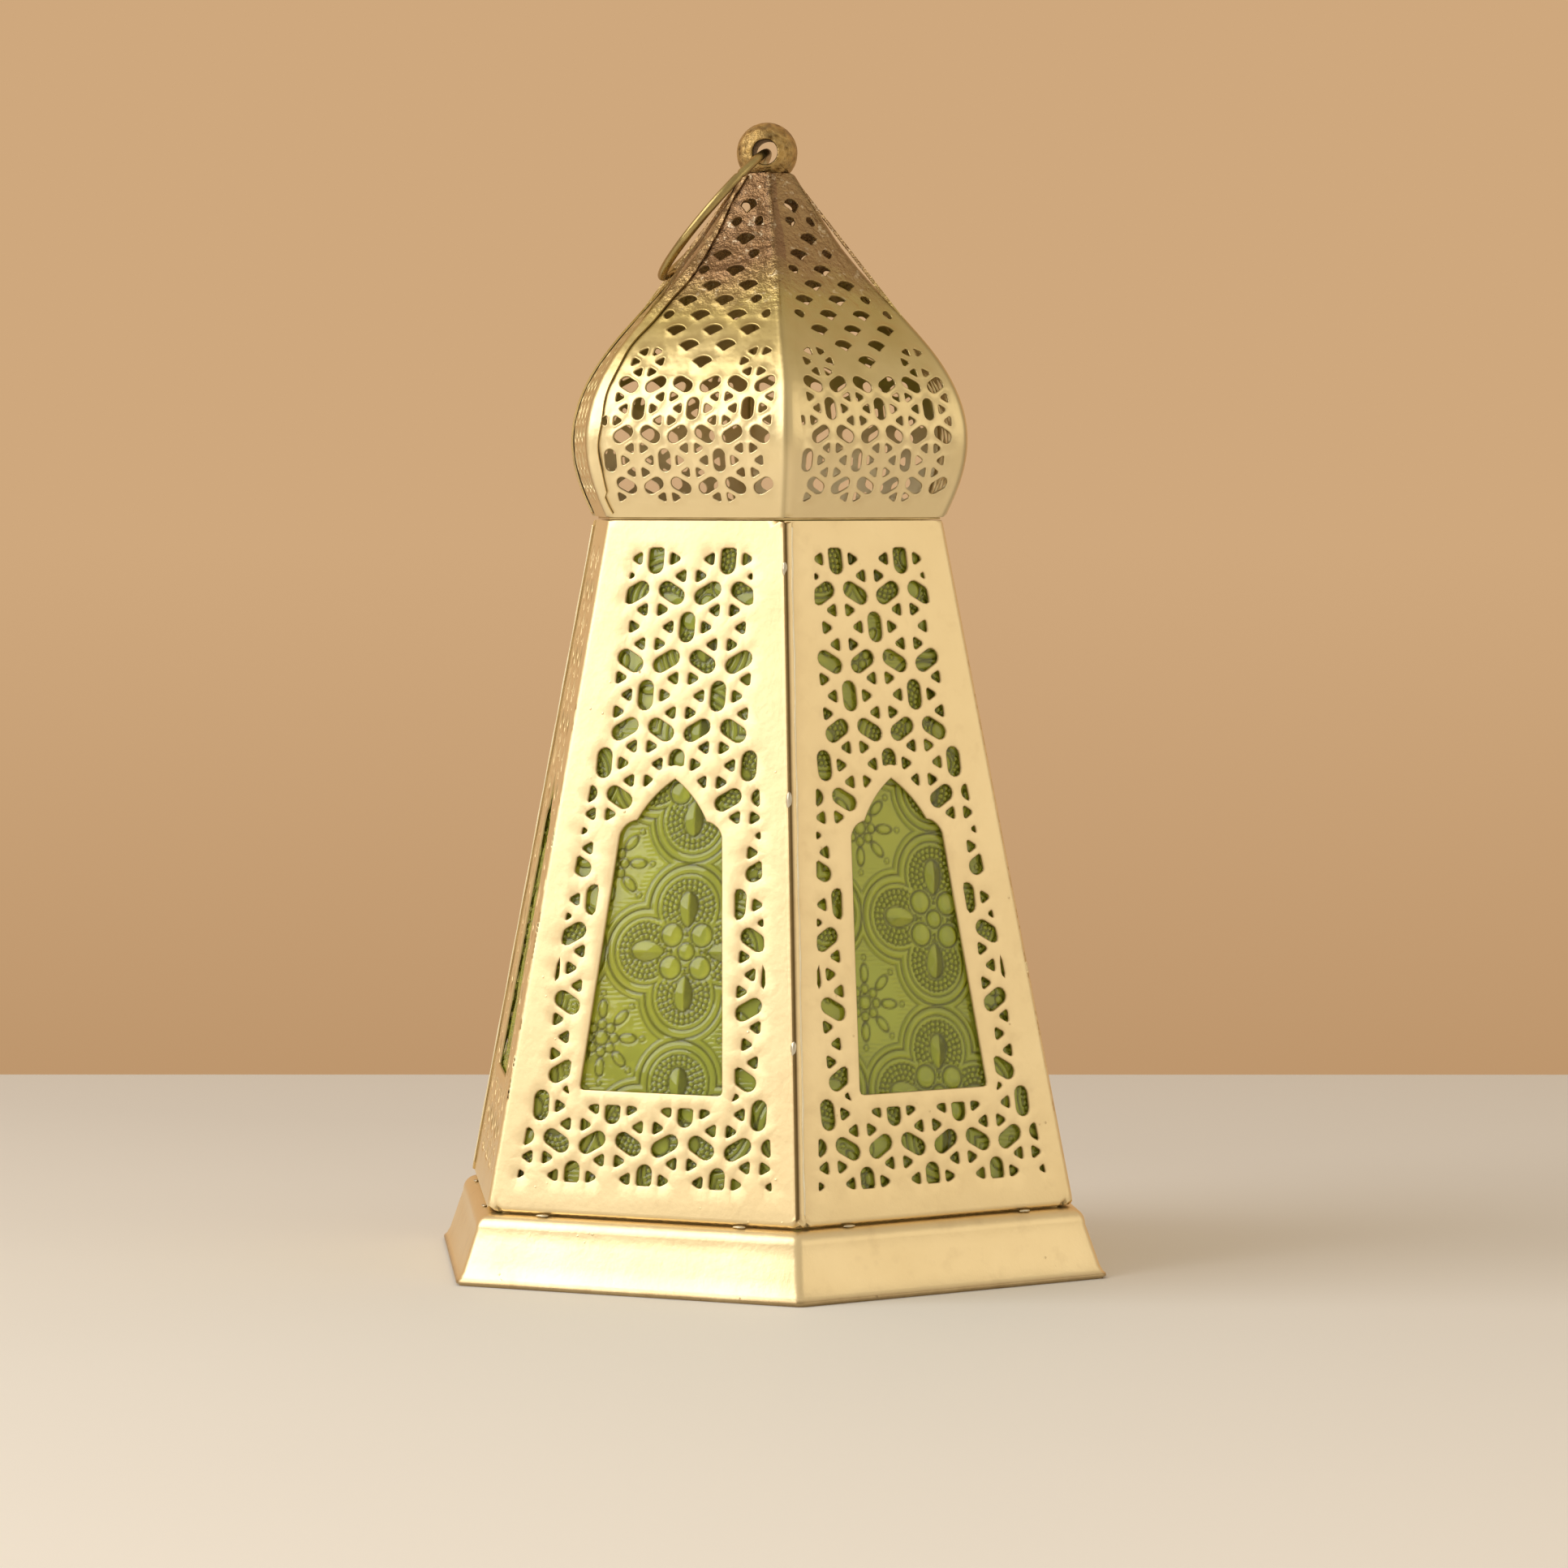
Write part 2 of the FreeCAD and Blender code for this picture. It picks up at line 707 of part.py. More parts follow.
def petal_blank(curve):
    """One of the dome's six sides: the profile as a sheet, cut off at the two ridges."""
    inner_points = [point - out * size("sheet") for length, point, along, out in curve_stations(curve, 12)]
    inner = Part.BSplineCurve()
    inner.interpolate(inner_points)
    ends = [
        Part.LineSegment(curve.EndPoint, inner.EndPoint),
        Part.LineSegment(inner.StartPoint, curve.StartPoint),
    ]
    edges = [curve.toShape(), ends[0].toShape(), inner.toShape(), ends[1].toShape()]
    section = Part.Face(Part.Wire(Part.__sortEdges__(edges)))
    reach = 70
    section.translate(Vector(-reach, 0, 0))
    bar = section.extrude(Vector(2 * reach, 0, 0))
    wedge = sector(size("neck_z") - 2, size("ball_z"), reach)
    wedge.translate(Vector(0, -size("ridge_gap") / 2 / math.sin(CORNER), 0))
    return bar.common(wedge)


def petal_holes(curve):
    """The lattice round the dome's shoulder and the fish scales above it, each placed on the curve."""
    slot = slot_face(size("dome_slot_width"), size("dome_slot_length"))
    triangle = triangle_face(size("dome_triangle_side"), size("dome_triangle_corner"))
    scale_wide = size("scale_width")
    scale = scale_face(scale_wide, size("scale_height"))
    half_scale = scale_face(scale_wide / 2, size("scale_height"))
    pitch = size("dome_pitch")
    shift = size("dome_pattern_shift")
    stations = curve_stations(curve, 400)

    def flat_at(up):
        length, point, along, out = min(stations, key=lambda station: abs(station[0] - up))
        return point, along, out

    def room(up):
        point, along, out = flat_at(up)
        return -point.y * SIDE_OF_FLAT - size("dome_side_margin")

    chosen = []
    inset = pitch * size("dome_reach_share")
    cells = lattice(pitch, range(-1, 3), range(-3, 3), size("dome_first_row"), inset, slot, triangle)
    for shape, x, y, turn in cells:
        across = x + shift
        reach = shape.BoundBox.DiagonalLength / 4
        vee = size("scale_start") - size("vee_drop") + size("vee_slope") * abs(x)
        below = y <= vee - size("vee_clear") * reach
        if size("dome_foot_margin") <= y and below and abs(across) + reach <= room(y):
            chosen.append((shape, across, y, turn))
    row = 0
    up = size("scale_start")
    while up < size("tip_hole_up") - size("tip_hole_height"):
        limit = room(up) + size("scale_overreach")
        for column in range(-row, row + 1, 2):
            across = shift + column * size("scale_pitch") / 2
            away = abs(across)
            if away + scale_wide / 2 <= limit:
                chosen.append((scale, across, up, 0))
            elif away - size("scale_cut") <= limit:
                inward = min(away, limit) - scale_wide / 4
                chosen.append((half_scale, math.copysign(inward, across), up, 0))
        row += 1
        up += size("scale_row")
    chosen.append((scale_face(size("tip_hole_width"), size("tip_hole_height")), 0, size("tip_hole_up"), 0))
    return [(shape, across, turn, flat_at(up)) for shape, across, up, turn in chosen]


def dome():
    curve = dome_curve()
    blank = petal_blank(curve)
    cutters = []
    for shape, across, turn, (point, along, out) in petal_holes(curve):
        tool = drilled(placed(shape.copy(), 0, 0, turn), size("sheet") + 0.4)
        first_rows = (1, along.x, out.x, across, 0, along.y, out.y, point.y)
        frame = Matrix(*first_rows, 0, along.z, out.z, point.z, 0, 0, 0, 1)
        tool.Placement = Placement(frame).multiply(tool.Placement)
        cutters.append(tool)
    petal = blank.cut(Part.makeCompound(cutters))
    for place, azimuth in PETALS.items():
        feature("dome_petal_" + place, petal, turn_about_axis(azimuth))


# ---------------------------------------------------------------- finial and ring


def finial():
    """A drilled ball on the dome's tip, drawn down by a screw and a washer inside the dome."""
    ball = doc.addObject("Part::Sphere", "ball_blank")
    bind(ball, Radius="{ball_radius}", **{"Placement.Base.z": "{ball_z}"})
    eye = doc.addObject("Part::Cylinder", "ball_eye")
    bind(eye, Radius="{ring_hole_radius}", Height="{ball_radius} * 3")
    along = outward(size("ring_azimuth"))
    middle = Vector(0, 0, size("ball_z"))
    eye.Placement = Placement(middle - along * size("ball_radius") * 1.5, Rotation(Vector(0, 0, 1), along))
    well_depth = "{screw_top_z} + 1.2 - {ball_z} + {ball_radius}"
    well_level = "{ball_z} - {ball_radius} - 1"
    well = cylinder("ball_well", "{screw_radius} + {screw_fit}", well_depth, well_level)
    keep(cut("finial_ball", ball, fuse("ball_holes", [eye, well])), "finial_ball")

    washer = cylinder("washer_blank", "{washer_radius}", "{washer_thickness}", "{washer_z}")
    bore = cylinder("washer_bore", "{screw_radius} + {screw_fit}", "{washer_thickness} * 3", "{washer_z} - 1")
    keep(cut("finial_washer", washer, bore), "finial_washer")

    shank = cylinder("screw_shank", "{screw_radius}", "{screw_top_z} - {washer_z}", "{washer_z}")
    head_level = "{washer_z} - {screw_head_height}"
    head = cylinder("screw_head", "{screw_head_radius}", "{screw_head_height}", head_level)
    keep(fuse("finial_screw", [shank, head]), "finial_screw")


def hanging_ring():
    """A wire ring through the ball's eye. It lies back against the dome."""
    ring = doc.addObject("Part::Torus", "hanging_ring")
    bind(ring, Radius1="{ring_radius}", Radius2="{ring_wire}")
    lean = math.radians(size("ring_lean"))
    along = outward(size("ring_azimuth"))
    level = outward(size("ring_azimuth") - 90)
    down = level * math.sin(lean) - Vector(0, 0, math.cos(lean))
    middle = Vector(0, 0, size("ball_z")) + down * size("ring_radius")
    ring.Placement = Placement(middle, Rotation(Vector(0, 0, 1), along.cross(down)))
    keep(ring, "hanging_ring")


# ---------------------------------------------------------------- door hardware


def hinge_frame():
    """Origin at the foot of the hinge line, Z up that line, Y outward from the lantern's axis."""
    out = outward(HINGE_AZIMUTH)
    foot = out * size("body_bottom_radius") + Vector(0, 0, size("body_bottom_z"))
    head = out * size("body_top_radius") + Vector(0, 0, size("body_top_z"))
    line_up = (head - foot).normalize()
    side = out.cross(line_up).normalize()
    away = line_up.cross(side).normalize()
    away = away if away.dot(out) > 0 else away * -1
    across = away.cross(line_up)
    start = foot + away * size("hinge_out")
    frame = Matrix(
        across.x, away.x, line_up.x, start.x,
        across.y, away.y, line_up.y, start.y,
        across.z, away.z, line_up.z, start.z,
        0, 0, 0, 1,
    )
    return Placement(frame)


def knuckle(start, bore, azimuth):
    """A tube on the hinge line with a leaf that lies flat on one of the two faces."""
    frame = hinge_frame()
    length = size("knuckle_length")
    tube = Part.makeCylinder(size("knuckle_radius"), length, Vector(0, 0, start))
    tube.Placement = frame
    face = face_frame(azimuth)
    side = 1 if azimuth == HINGE_AZIMUTH - 30 else -1
    low = face.inverse().multVec(frame.multVec(Vector(0, 0, start)))
    high = face.inverse().multVec(frame.multVec(Vector(0, 0, start + length)))
    width = size("leaf_width")
    corners = [
        Vector(low.x, low.y, 0),
        Vector(high.x, high.y, 0),
        Vector(high.x - side * width, high.y, 0),
        Vector(low.x - side * width, low.y, 0),
    ]
    leaf = Part.Face(Part.makePolygon(corners + corners[:1])).extrude(Vector(0, 0, size("leaf_sheet")))
    leaf.Placement = face
    hole = Part.makeCylinder(bore, length + 4, Vector(0, 0, start - 2))
    hole.Placement = frame
    return tube.fuse(leaf).cut(hole).removeSplitter()


def door_hardware():
    """Two hinges of three knuckles with a headed pin each, and a turned pull knob."""
    loose = size("pin_radius") + size("pin_fit")
    snug = size("pin_radius") + size("rivet_slack")
    pitch = size("knuckle_length") + size("knuckle_space")
    fixed, moving, pins = [], [], []
    frame = hinge_frame()
    for start in (size("hinge_low"), size("hinge_high")):
        fixed += [knuckle(start, snug, 120), knuckle(start + 2 * pitch, snug, 120)]
        moving.append(knuckle(start + pitch, loose, DOOR_AZIMUTH))
        tail = size("pin_tail")
        pin = Part.makeCylinder(size("pin_radius"), 3 * pitch + tail, Vector(0, 0, start - tail))
        end = start + 3 * pitch - size("knuckle_space")
        head = Part.makeCylinder(size("pin_head"), size("pin_head_height"), Vector(0, 0, end))
        pin = pin.fuse(head)
        pin.Placement = frame
        pins.append(pin)
    feature("frame_knuckles", Part.makeCompound(fixed))
    feature("door_knuckles", Part.makeCompound(moving))
    feature("hinge_pins", Part.makeCompound(pins))

    neck = size("knob_neck") - size("rivet_slack")
    through = size("sheet") + 0.1
    shank = Part.makeCylinder(neck, size("knob_stand") + through, Vector(0, 0, -through))
    foot = Part.makeCylinder(size("knob_neck") * 2, 0.8)
    grip = Part.makeSphere(size("knob_radius"), Vector(0, 0, size("knob_stand")))
    knob = shank.multiFuse([foot, grip]).removeSplitter()
    place = Placement(Vector(size("knob_side"), size("knob_up"), 0), Rotation())
    feature("door_knob", knob, face_frame(DOOR_AZIMUTH).multiply(place))


# ---------------------------------------------------------------- solder


def solder():
    """Small runs of solder: down the body's seams, under the body's foot, and round the dome's foot."""
    seam, foot, crown = [], [], []
    gap = size("seam_gap") * FLAT - size("tack_slack")
    long = size("tack_length")
    stand = size("tack_stand")
    for azimuth in (30, 270):
        out = outward(azimuth)
        low = out * size("body_bottom_radius") + Vector(0, 0, size("body_bottom_z"))
        high = out * size("body_top_radius") + Vector(0, 0, size("body_top_z"))
        for share in (0.25, 0.6, 0.93):
            middle = low + (high - low) * share
            bead = Part.makeBox(gap, size("sheet") + stand, long, Vector(-gap / 2, -stand, -long / 2))
            bead.Placement = Placement(middle, Rotation(Vector(0, 0, 1), azimuth))
            seam.append(bead)
    under = size("body_bottom_z") - size("base_top_z") - 0.16
    wide = size("foot_tack_width")
    for azimuth in FIXED_GLASS.values():
        for side in (-1, 1):
            start = Vector(side * size("foot_tack_side") - long / 2, -BODY_FOOT - stand, size("base_top_z"))
            bead = Part.makeBox(long, wide, under, start)
            bead.Placement = turn_about_axis(azimuth).multiply(bead.Placement)
            foot.append(bead)
    crown_top = size("neck_z") + size("neck_sheet")
    place = Vector(0, size("crown_tack_inset") - size("neck_corner_radius"), crown_top)
    for index in range(SIDES):
        bead = Part.makeCylinder(size("crown_tack_radius"), size("crown_tack_height"), place)
        bead.Placement = turn_about_axis(30 + STEP_ANGLE * index)
        crown.append(bead)
    feature("seam_solder", Part.makeCompound(seam))
    feature("foot_solder", Part.makeCompound(foot))
    feature("dome_solder", Part.makeCompound(crown))


def build():
    base_skirt()
    base_plate()
    candle_cup()
    rivet("cup_rivet", "{cup_sheet}")
    rivet("catch_rivet", "{catch_sheet}", CATCH_X, CATCH_Y)
    catch_spring()
    body_sheets()
    glazing()
    neck_ring()
    dome()
    finial()
    hanging_ring()
    door_hardware()
    solder()
    doc.recompute()


def check_and_write():
    for item in doc.Objects:
        bad = {"Invalid", "Error"} & set(item.State)
        assert not bad, f"{item.Label}: {item.State}"
    os.makedirs("parts", exist_ok=True)
    for piece in nodes:
        shape = piece.Shape
        assert not shape.isNull() and shape.isValid(), f"{piece.Label}: shape is null or not valid"
        assert shape.Solids, f"{piece.Label}: no solid"
        shape.exportStep(f"parts/{piece.Label}.step")
        print(f"{piece.Label}: {len(shape.Solids)} solid(s), {shape.Volume:.1f} mm3")


build()
check_and_write()
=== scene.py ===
import math

import bmesh
import bpy
import numpy as np
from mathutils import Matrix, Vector
from mathutils.geometry import delaunay_2d_cdt


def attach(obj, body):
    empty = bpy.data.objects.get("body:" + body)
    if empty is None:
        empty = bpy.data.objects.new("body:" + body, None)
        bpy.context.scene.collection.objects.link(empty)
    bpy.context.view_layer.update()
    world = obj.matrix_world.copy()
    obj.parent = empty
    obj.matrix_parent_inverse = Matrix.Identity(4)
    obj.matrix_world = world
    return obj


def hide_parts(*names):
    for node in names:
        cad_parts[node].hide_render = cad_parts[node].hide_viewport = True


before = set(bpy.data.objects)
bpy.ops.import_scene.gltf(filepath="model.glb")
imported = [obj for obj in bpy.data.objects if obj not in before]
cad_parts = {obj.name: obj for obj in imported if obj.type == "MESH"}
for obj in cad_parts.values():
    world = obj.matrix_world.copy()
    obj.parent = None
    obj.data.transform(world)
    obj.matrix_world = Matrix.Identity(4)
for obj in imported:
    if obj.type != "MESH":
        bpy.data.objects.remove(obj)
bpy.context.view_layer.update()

MM = 0.001
SIDES = 6
CORNER = math.pi / SIDES
FLAT = math.cos(CORNER)
TAN = math.tan(CORNER)
PI = math.pi
FAR = 1e9

# Sizes in millimetres, the same as the CAD's.
SHEET = 0.6
BODY_FOOT = 82.0 * FLAT
BODY_HEAD = 47.1 * FLAT
BODY_LOW = 17.2
BODY_TOP = 182.6
SLANT = math.hypot(BODY_FOOT - BODY_HEAD, BODY_TOP - BODY_LOW)
DOME_PROFILE = [
    (41.0, 183.4),
    (43.9, 190.3),
    (46.2, 201.5),
    (42.7, 216.1),
    (32.0, 231.0),
    (18.9, 246.5),
    (8.0, 263.6),
    (5.7, 267.4),
]
LATTICE_PITCH = 19.15
TOP_ROW = 158.9
BALL_Z = 272.5
BALL_RADIUS = 7.5
RING_AZIMUTH = 20.0
RING_LEAN = 40.6
RING_RADIUS = 19.8
RING_WIRE = 1.1
EYE_RADIUS = 3.0

CAMERA_AZIMUTH = 25.02


# ---------------------------------------------------------------- small helpers


def smooth_max(a, b, soft):
    share = np.clip(0.5 + 0.5 * (a - b) / soft, 0, 1)
    return b * (1 - share) + a * share + soft * share * (1 - share)


def smooth_step(low, high, value):
    share = np.clip((value - low) / (high - low), 0, 1)
    return share * share * (3 - 2 * share)


def bump_at(distance, radius):
    return np.sqrt(np.clip(1 - (distance / radius) ** 2, 0, 1))


def line_at(distance, width):
    return np.exp(-((distance / width) ** 2))


def nearest(points, others, block=400):
    """Each point's distance to the nearest of the others, worked out in blocks to spare memory."""
    best = np.full(len(points), FAR)
    for start in range(0, len(others), block):
        gaps = points[:, None] - others[None, start : start + block]
        best = np.minimum(best, np.linalg.norm(gaps, axis=2).min(1))
    return best


def ripple(x, y, seed, shortest=14.0, longest=60.0, waves=7):
    """Slow waves over a surface, from -1 to 1."""
    source = np.random.default_rng(seed)
    total = np.zeros_like(x, dtype=float)
    for _ in range(waves):
        length = source.uniform(shortest, longest)
        turn = source.uniform(0, 2 * PI)
        start = source.uniform(0, 2 * PI)
        total += np.sin((x * math.cos(turn) + y * math.sin(turn)) * 2 * PI / length + start)
    return total / waves


def turned(points, degrees):
    """Points turned about the lantern's axis."""
    angle = math.radians(degrees)
    cos, sin = math.cos(angle), math.sin(angle)
    return points @ np.array([[cos, -sin, 0], [sin, cos, 0], [0, 0, 1]]).T


def turned_point(x, y, z, degrees):
    return turned(np.array([[x, y, z]]), degrees)[0]


def outward(degrees):
    angle = math.radians(degrees)
    return np.array([math.sin(angle), -math.cos(angle), 0])


def make_object(name, points, faces, material, edge=None, sharp=None, weld=False):
    """A smooth mesh object from points in millimetres. weld joins points that lie in the same place."""
    mesh = bpy.data.meshes.new(name)
    mesh.from_pydata((np.asarray(points) * MM).tolist(), [], faces)
    mesh.validate()
    mesh.update()
    if edge is not None:
        layer = mesh.attributes.new("edge", "FLOAT", "POINT")
        layer.data.foreach_set("value", np.asarray(edge, dtype=np.float32))
    if weld:
        joiner = bmesh.new()
        joiner.from_mesh(mesh)
        bmesh.ops.remove_doubles(joiner, verts=joiner.verts, dist=0.01 * MM)
        joiner.to_mesh(mesh)
        joiner.free()
    mesh.polygons.foreach_set("use_smooth", [True] * len(mesh.polygons))
    if sharp is not None:
        mesh.set_sharp_from_angle(angle=math.radians(sharp))
    item = bpy.data.objects.new(name, mesh)
    bpy.context.scene.collection.objects.link(item)
    item.data.materials.append(material)
    return item


def install(item, body, slot, *nodes):
    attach(item, body)
    if nodes:
        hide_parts(*nodes)
    return item


class Shell:
    """Collects points and faces of one piece."""

    def __init__(self):
        self.points = []
        self.faces = []
        # Each point's edge value, which the materials turn into painted shade, and on the glass into
        # painted dark lines.
        self.edge = []
        self.count = 0

    def add(self, points, edge=0.0):
        start = self.count
        self.points.append(np.asarray(points, dtype=float))
        self.edge.append(np.broadcast_to(np.asarray(edge, dtype=float), (len(points),)))
        self.count += len(points)
        return start

    def row(self, points, edge=0.0):
        """Adds points and gives their numbers."""
        start = self.add(points, edge)
        return [start + index for index in range(len(points))]

    def bridge(self, first, second, closed=True, flip=False):
        """Quads between two rows of vertex numbers of the same length."""
        count = len(first)
        for index in range(count if closed else count - 1):
            after = (index + 1) % count
            quad = (first[index], first[after], second[after], second[index])
            self.faces.append(quad[::-1] if flip else quad)

    def loft(self, rows, closed=True, flip=False):
        """Quads between each row and the next."""
        for first, second in zip(rows, rows[1:]):
            self.bridge(first, second, closed, flip)

    def grid(self, rows, columns):
        """Quads over the first rows * columns points."""
        for row in range(rows - 1):
            for column in range(columns - 1):
                a = row * columns + column
                self.faces.append((a, a + 1, a + columns + 1, a + columns))

    def build(self, name, material, **options):
        points, edge = np.vstack(self.points), np.concatenate(self.edge)
        return make_object(name, points, self.faces, material, edge=edge, **options)


# ---------------------------------------------------------------- node materials


class Nodes:
    """Short calls for a material's node tree."""

    def __init__(self, name):
        self.material = bpy.data.materials.new(name)
        self.material.use_nodes = True
        self.tree = self.material.node_tree
        self.shader = self.tree.nodes["Principled BSDF"]
        self.coords = self.tree.nodes.new("ShaderNodeTexCoord").outputs["Object"]

    def link(self, source, target):
        if isinstance(source, bpy.types.NodeSocket):
            self.tree.links.new(source, target)
        else:
            target.default_value = source

    def set(self, **values):
        for name, value in values.items():
            self.link(value, self.shader.inputs[name.replace("_", " ")])

    def noise(self, scale, detail=3.0, rough=0.5, stretch=None):
        node = self.tree.nodes.new("ShaderNodeTexNoise")
        node.inputs["Scale"].default_value = scale
        node.inputs["Detail"].default_value = detail
        node.inputs["Roughness"].default_value = rough
        place = self.coords
        if stretch:
            mapping = self.tree.nodes.new("ShaderNodeMapping")
            mapping.inputs["Scale"].default_value = stretch
            self.tree.links.new(self.coords, mapping.inputs["Vector"])
            place = mapping.outputs[0]
        self.tree.links.new(place, node.inputs["Vector"])
        return node.outputs["Fac"]

    def cells(self, scale):
        node = self.tree.nodes.new("ShaderNodeTexVoronoi")
        node.inputs["Scale"].default_value = scale
        self.tree.links.new(self.coords, node.inputs["Vector"])
        return node.outputs["Distance"]

    def attribute(self, name):
        node = self.tree.nodes.new("ShaderNodeAttribute")
        node.attribute_name = name
        return node.outputs["Fac"]

    def ramp(self, source, *stops):
        node = self.tree.nodes.new("ShaderNodeValToRGB")
        ramp = node.color_ramp
        while len(ramp.elements) < len(stops):
            ramp.elements.new(0.5)
        for element, (place, value) in zip(ramp.elements, stops):
            element.position = place
            element.color = (*value, 1) if isinstance(value, tuple) else (value, value, value, 1)
        self.tree.links.new(source, node.inputs["Fac"])
        return node.outputs["Color"]

    def math(self, operation, a, b):
        node = self.tree.nodes.new("ShaderNodeMath")
        node.operation = operation
        self.link(a, node.inputs[0])
        self.link(b, node.inputs[1])
        return node.outputs[0]

    def times(self, a, b):
        return self.math("MULTIPLY", a, b)

    def plus(self, a, b):
        return self.math("ADD", a, b)

    def mix(self, share, a, b):
        node = self.tree.nodes.new("ShaderNodeMix")
        node.data_type = "RGBA"
        self.link(share, node.inputs["Factor"])
        for colour, place in ((a, 6), (b, 7)):
            self.link((*colour, 1) if isinstance(colour, tuple) else colour, node.inputs[place])
        return node.outputs[2]

    def height(self):
        """The height above the floor, in metres."""
        node = self.tree.nodes.new("ShaderNodeSeparateXYZ")
        self.tree.links.new(self.coords, node.inputs[0])
        return node.outputs["Z"]

    def bump(self, height, distance, strength=1.0, under=None):
        node = self.tree.nodes.new("ShaderNodeBump")
        node.inputs["Strength"].default_value = strength
        node.inputs["Distance"].default_value = distance
        self.link(height, node.inputs["Height"])
        if under is not None:
            self.tree.links.new(under, node.inputs["Normal"])
        self.tree.links.new(node.outputs[0], self.shader.inputs["Normal"])
        return node.outputs[0]


def lacquered_brass(name, light, warm, dark, rough=0.36, grime=0.35, grain=1.0):
    """Sheet brass under a satin lacquer: cloudy, finely pimpled and stained in patches, with painted
    shade in its holes and folds, beside its laps and at the skirt's foot.
    """
    nodes = Nodes(name)
    cloud = nodes.noise(28, 4, 0.55)
    fine = nodes.noise(900, 2, 0.6)
    mottle = nodes.noise(160, 3, 0.6)
    colour = nodes.mix(nodes.ramp(cloud, (0.3, 0.0), (0.75, 1.0)), light, warm)
    # Mottled stains on the lacquer.
    stain_and_shade = nodes.times(nodes.ramp(mottle, (0.55, 0.0), (0.85, 1.0)), grime * 0.5)
    colour = nodes.mix(stain_and_shade, colour, dark)
    # Painted shade: the edge attribute darkens the hole walls, the folds' bends, the line beside each
    # lap and the skirt's foot; the sheets' backs come out darker too.
    edge = nodes.attribute("edge")
    painted_shade = nodes.times(edge, nodes.ramp(mottle, (0.3, 0.6), (0.7, 0.95)))
    colour = nodes.mix(painted_shade, colour, dark)
    # Painted shade: where the edge attribute runs high, in the folds, beside the laps and at the
    # skirt's foot, the colour goes nearly black-brown.
    colour = nodes.mix(nodes.ramp(edge, (0.62, 0.0), (0.85, 0.92)), colour, (0.13, 0.08, 0.02))
    roughness = nodes.plus(nodes.times(cloud, 0.10), rough - 0.05)
    roughness = nodes.plus(roughness, nodes.times(fine, 0.05))
    nodes.set(Base_Color=colour, Metallic=0.92, Roughness=roughness)
    nodes.set(Coat_Weight=0.25, Coat_Roughness=0.3)
    pimples = nodes.ramp(nodes.cells(330), (0.0, 1.0), (0.12, 0.0))
    spots = nodes.times(pimples, nodes.ramp(nodes.noise(110, 1), (0.62, 0.0), (0.68, 1.0)))
    low = nodes.bump(nodes.noise(70, 3, 0.6), 0.0006 * grain, 0.25)
    mid = nodes.bump(fine, 0.00006 * grain, 0.5, low)
    nodes.bump(spots, 0.0003, 0.6, mid)
    return nodes.material


def petal_brass(name, burnt):
    """The dome's brass: pale at the shoulder, olive above, and burnt by the torch at the tip, with
    painted glints over the tip and painted shade along its ridges and in its holes.
    """
    nodes = Nodes(name)
    level = nodes.height()
    cloud = nodes.noise(45, 4, 0.6)
    fine = nodes.noise(700, 3, 0.6)
    sway = nodes.times(nodes.math("SUBTRACT", cloud, 0.5), 0.022)
    wander = nodes.plus(level, sway)
    share = nodes.times(nodes.math("SUBTRACT", wander, 0.195), 1 / 0.07)
    pale, olive = (0.90, 0.74, 0.43), (0.55, 0.42, 0.15)
    colour = nodes.ramp(share, (0.0, pale), (0.25, (0.82, 0.66, 0.34)), (0.55, olive), (0.70, burnt))
    # Painted highlights: pale glints scattered over the crumpled tip.
    glint_spots = nodes.ramp(nodes.noise(420, 2, 0.7), (0.60, 0.0), (0.70, 1.0))
    high = nodes.ramp(level, (0.230, 0.0), (0.243, 1.0))
    bright = nodes.times(glint_spots, nodes.times(high, 0.55))
    colour = nodes.mix(bright, colour, (0.95, 0.82, 0.58))
    # Painted shade: the edge attribute darkens the bend along the ridge, the hole walls and the back.
    edge = nodes.attribute("edge")
    colour = nodes.mix(nodes.times(edge, 0.6), colour, (0.20, 0.14, 0.05))
    roughness = nodes.plus(0.30, nodes.times(cloud, 0.12))
    nodes.set(Base_Color=colour, Metallic=0.95, Roughness=roughness)
    nodes.set(Coat_Weight=0.2, Coat_Roughness=0.25)
    low = nodes.bump(nodes.noise(90, 3, 0.6), 0.0012, 0.3)
    hammer = nodes.times(nodes.noise(260, 4, 0.65), high)
    mid = nodes.bump(hammer, 0.0016, 1.0, low)
    nodes.bump(fine, 0.0001, 0.4, mid)
    return nodes.material


def antique_gold(name):
    """A cast ball with a coarse gilt skin, dark in its pits, and with painted shade inside its eye."""
    nodes = Nodes(name)
    lumps = nodes.noise(420, 4, 0.65)
    pits = nodes.cells(520)
    pit, gilt = (0.15, 0.085, 0.025), (0.52, 0.335, 0.115)
    colour = nodes.mix(nodes.ramp(lumps, (0.35, 0.0), (0.62, 1.0)), pit, gilt)
    colour = nodes.mix(nodes.ramp(pits, (0.25, 0.0), (0.5, 0.3)), colour, (0.72, 0.52, 0.23))
    # Painted shade: the inside of the eye's bore goes nearly black.
    colour = nodes.mix(nodes.attribute("edge"), colour, (0.05, 0.03, 0.01))
    roughness = nodes.plus(0.30, nodes.times(lumps, 0.25))
    nodes.set(Base_Color=colour, Metallic=0.95, Roughness=roughness)
    low = nodes.bump(lumps, 0.0009, 0.9)
    nodes.bump(pits, 0.0004, 0.5, low)
    return nodes.material


def plain_metal(name, colour, shadow, rough, depth=0.00008):
    """Drawn or turned metal with light tarnish."""
    nodes = Nodes(name)
    cloud = nodes.noise(120, 4, 0.6)
    fine = nodes.noise(400, 3, 0.6)
    tarnished = nodes.mix(nodes.ramp(cloud, (0.35, 0.0), (0.75, 0.8)), colour, shadow)
    roughness = nodes.plus(rough - 0.08, nodes.times(fine, 0.16))
    nodes.set(Base_Color=tarnished, Metallic=1.0, Roughness=roughness)
    nodes.bump(fine, depth, 0.6)
    return nodes.material


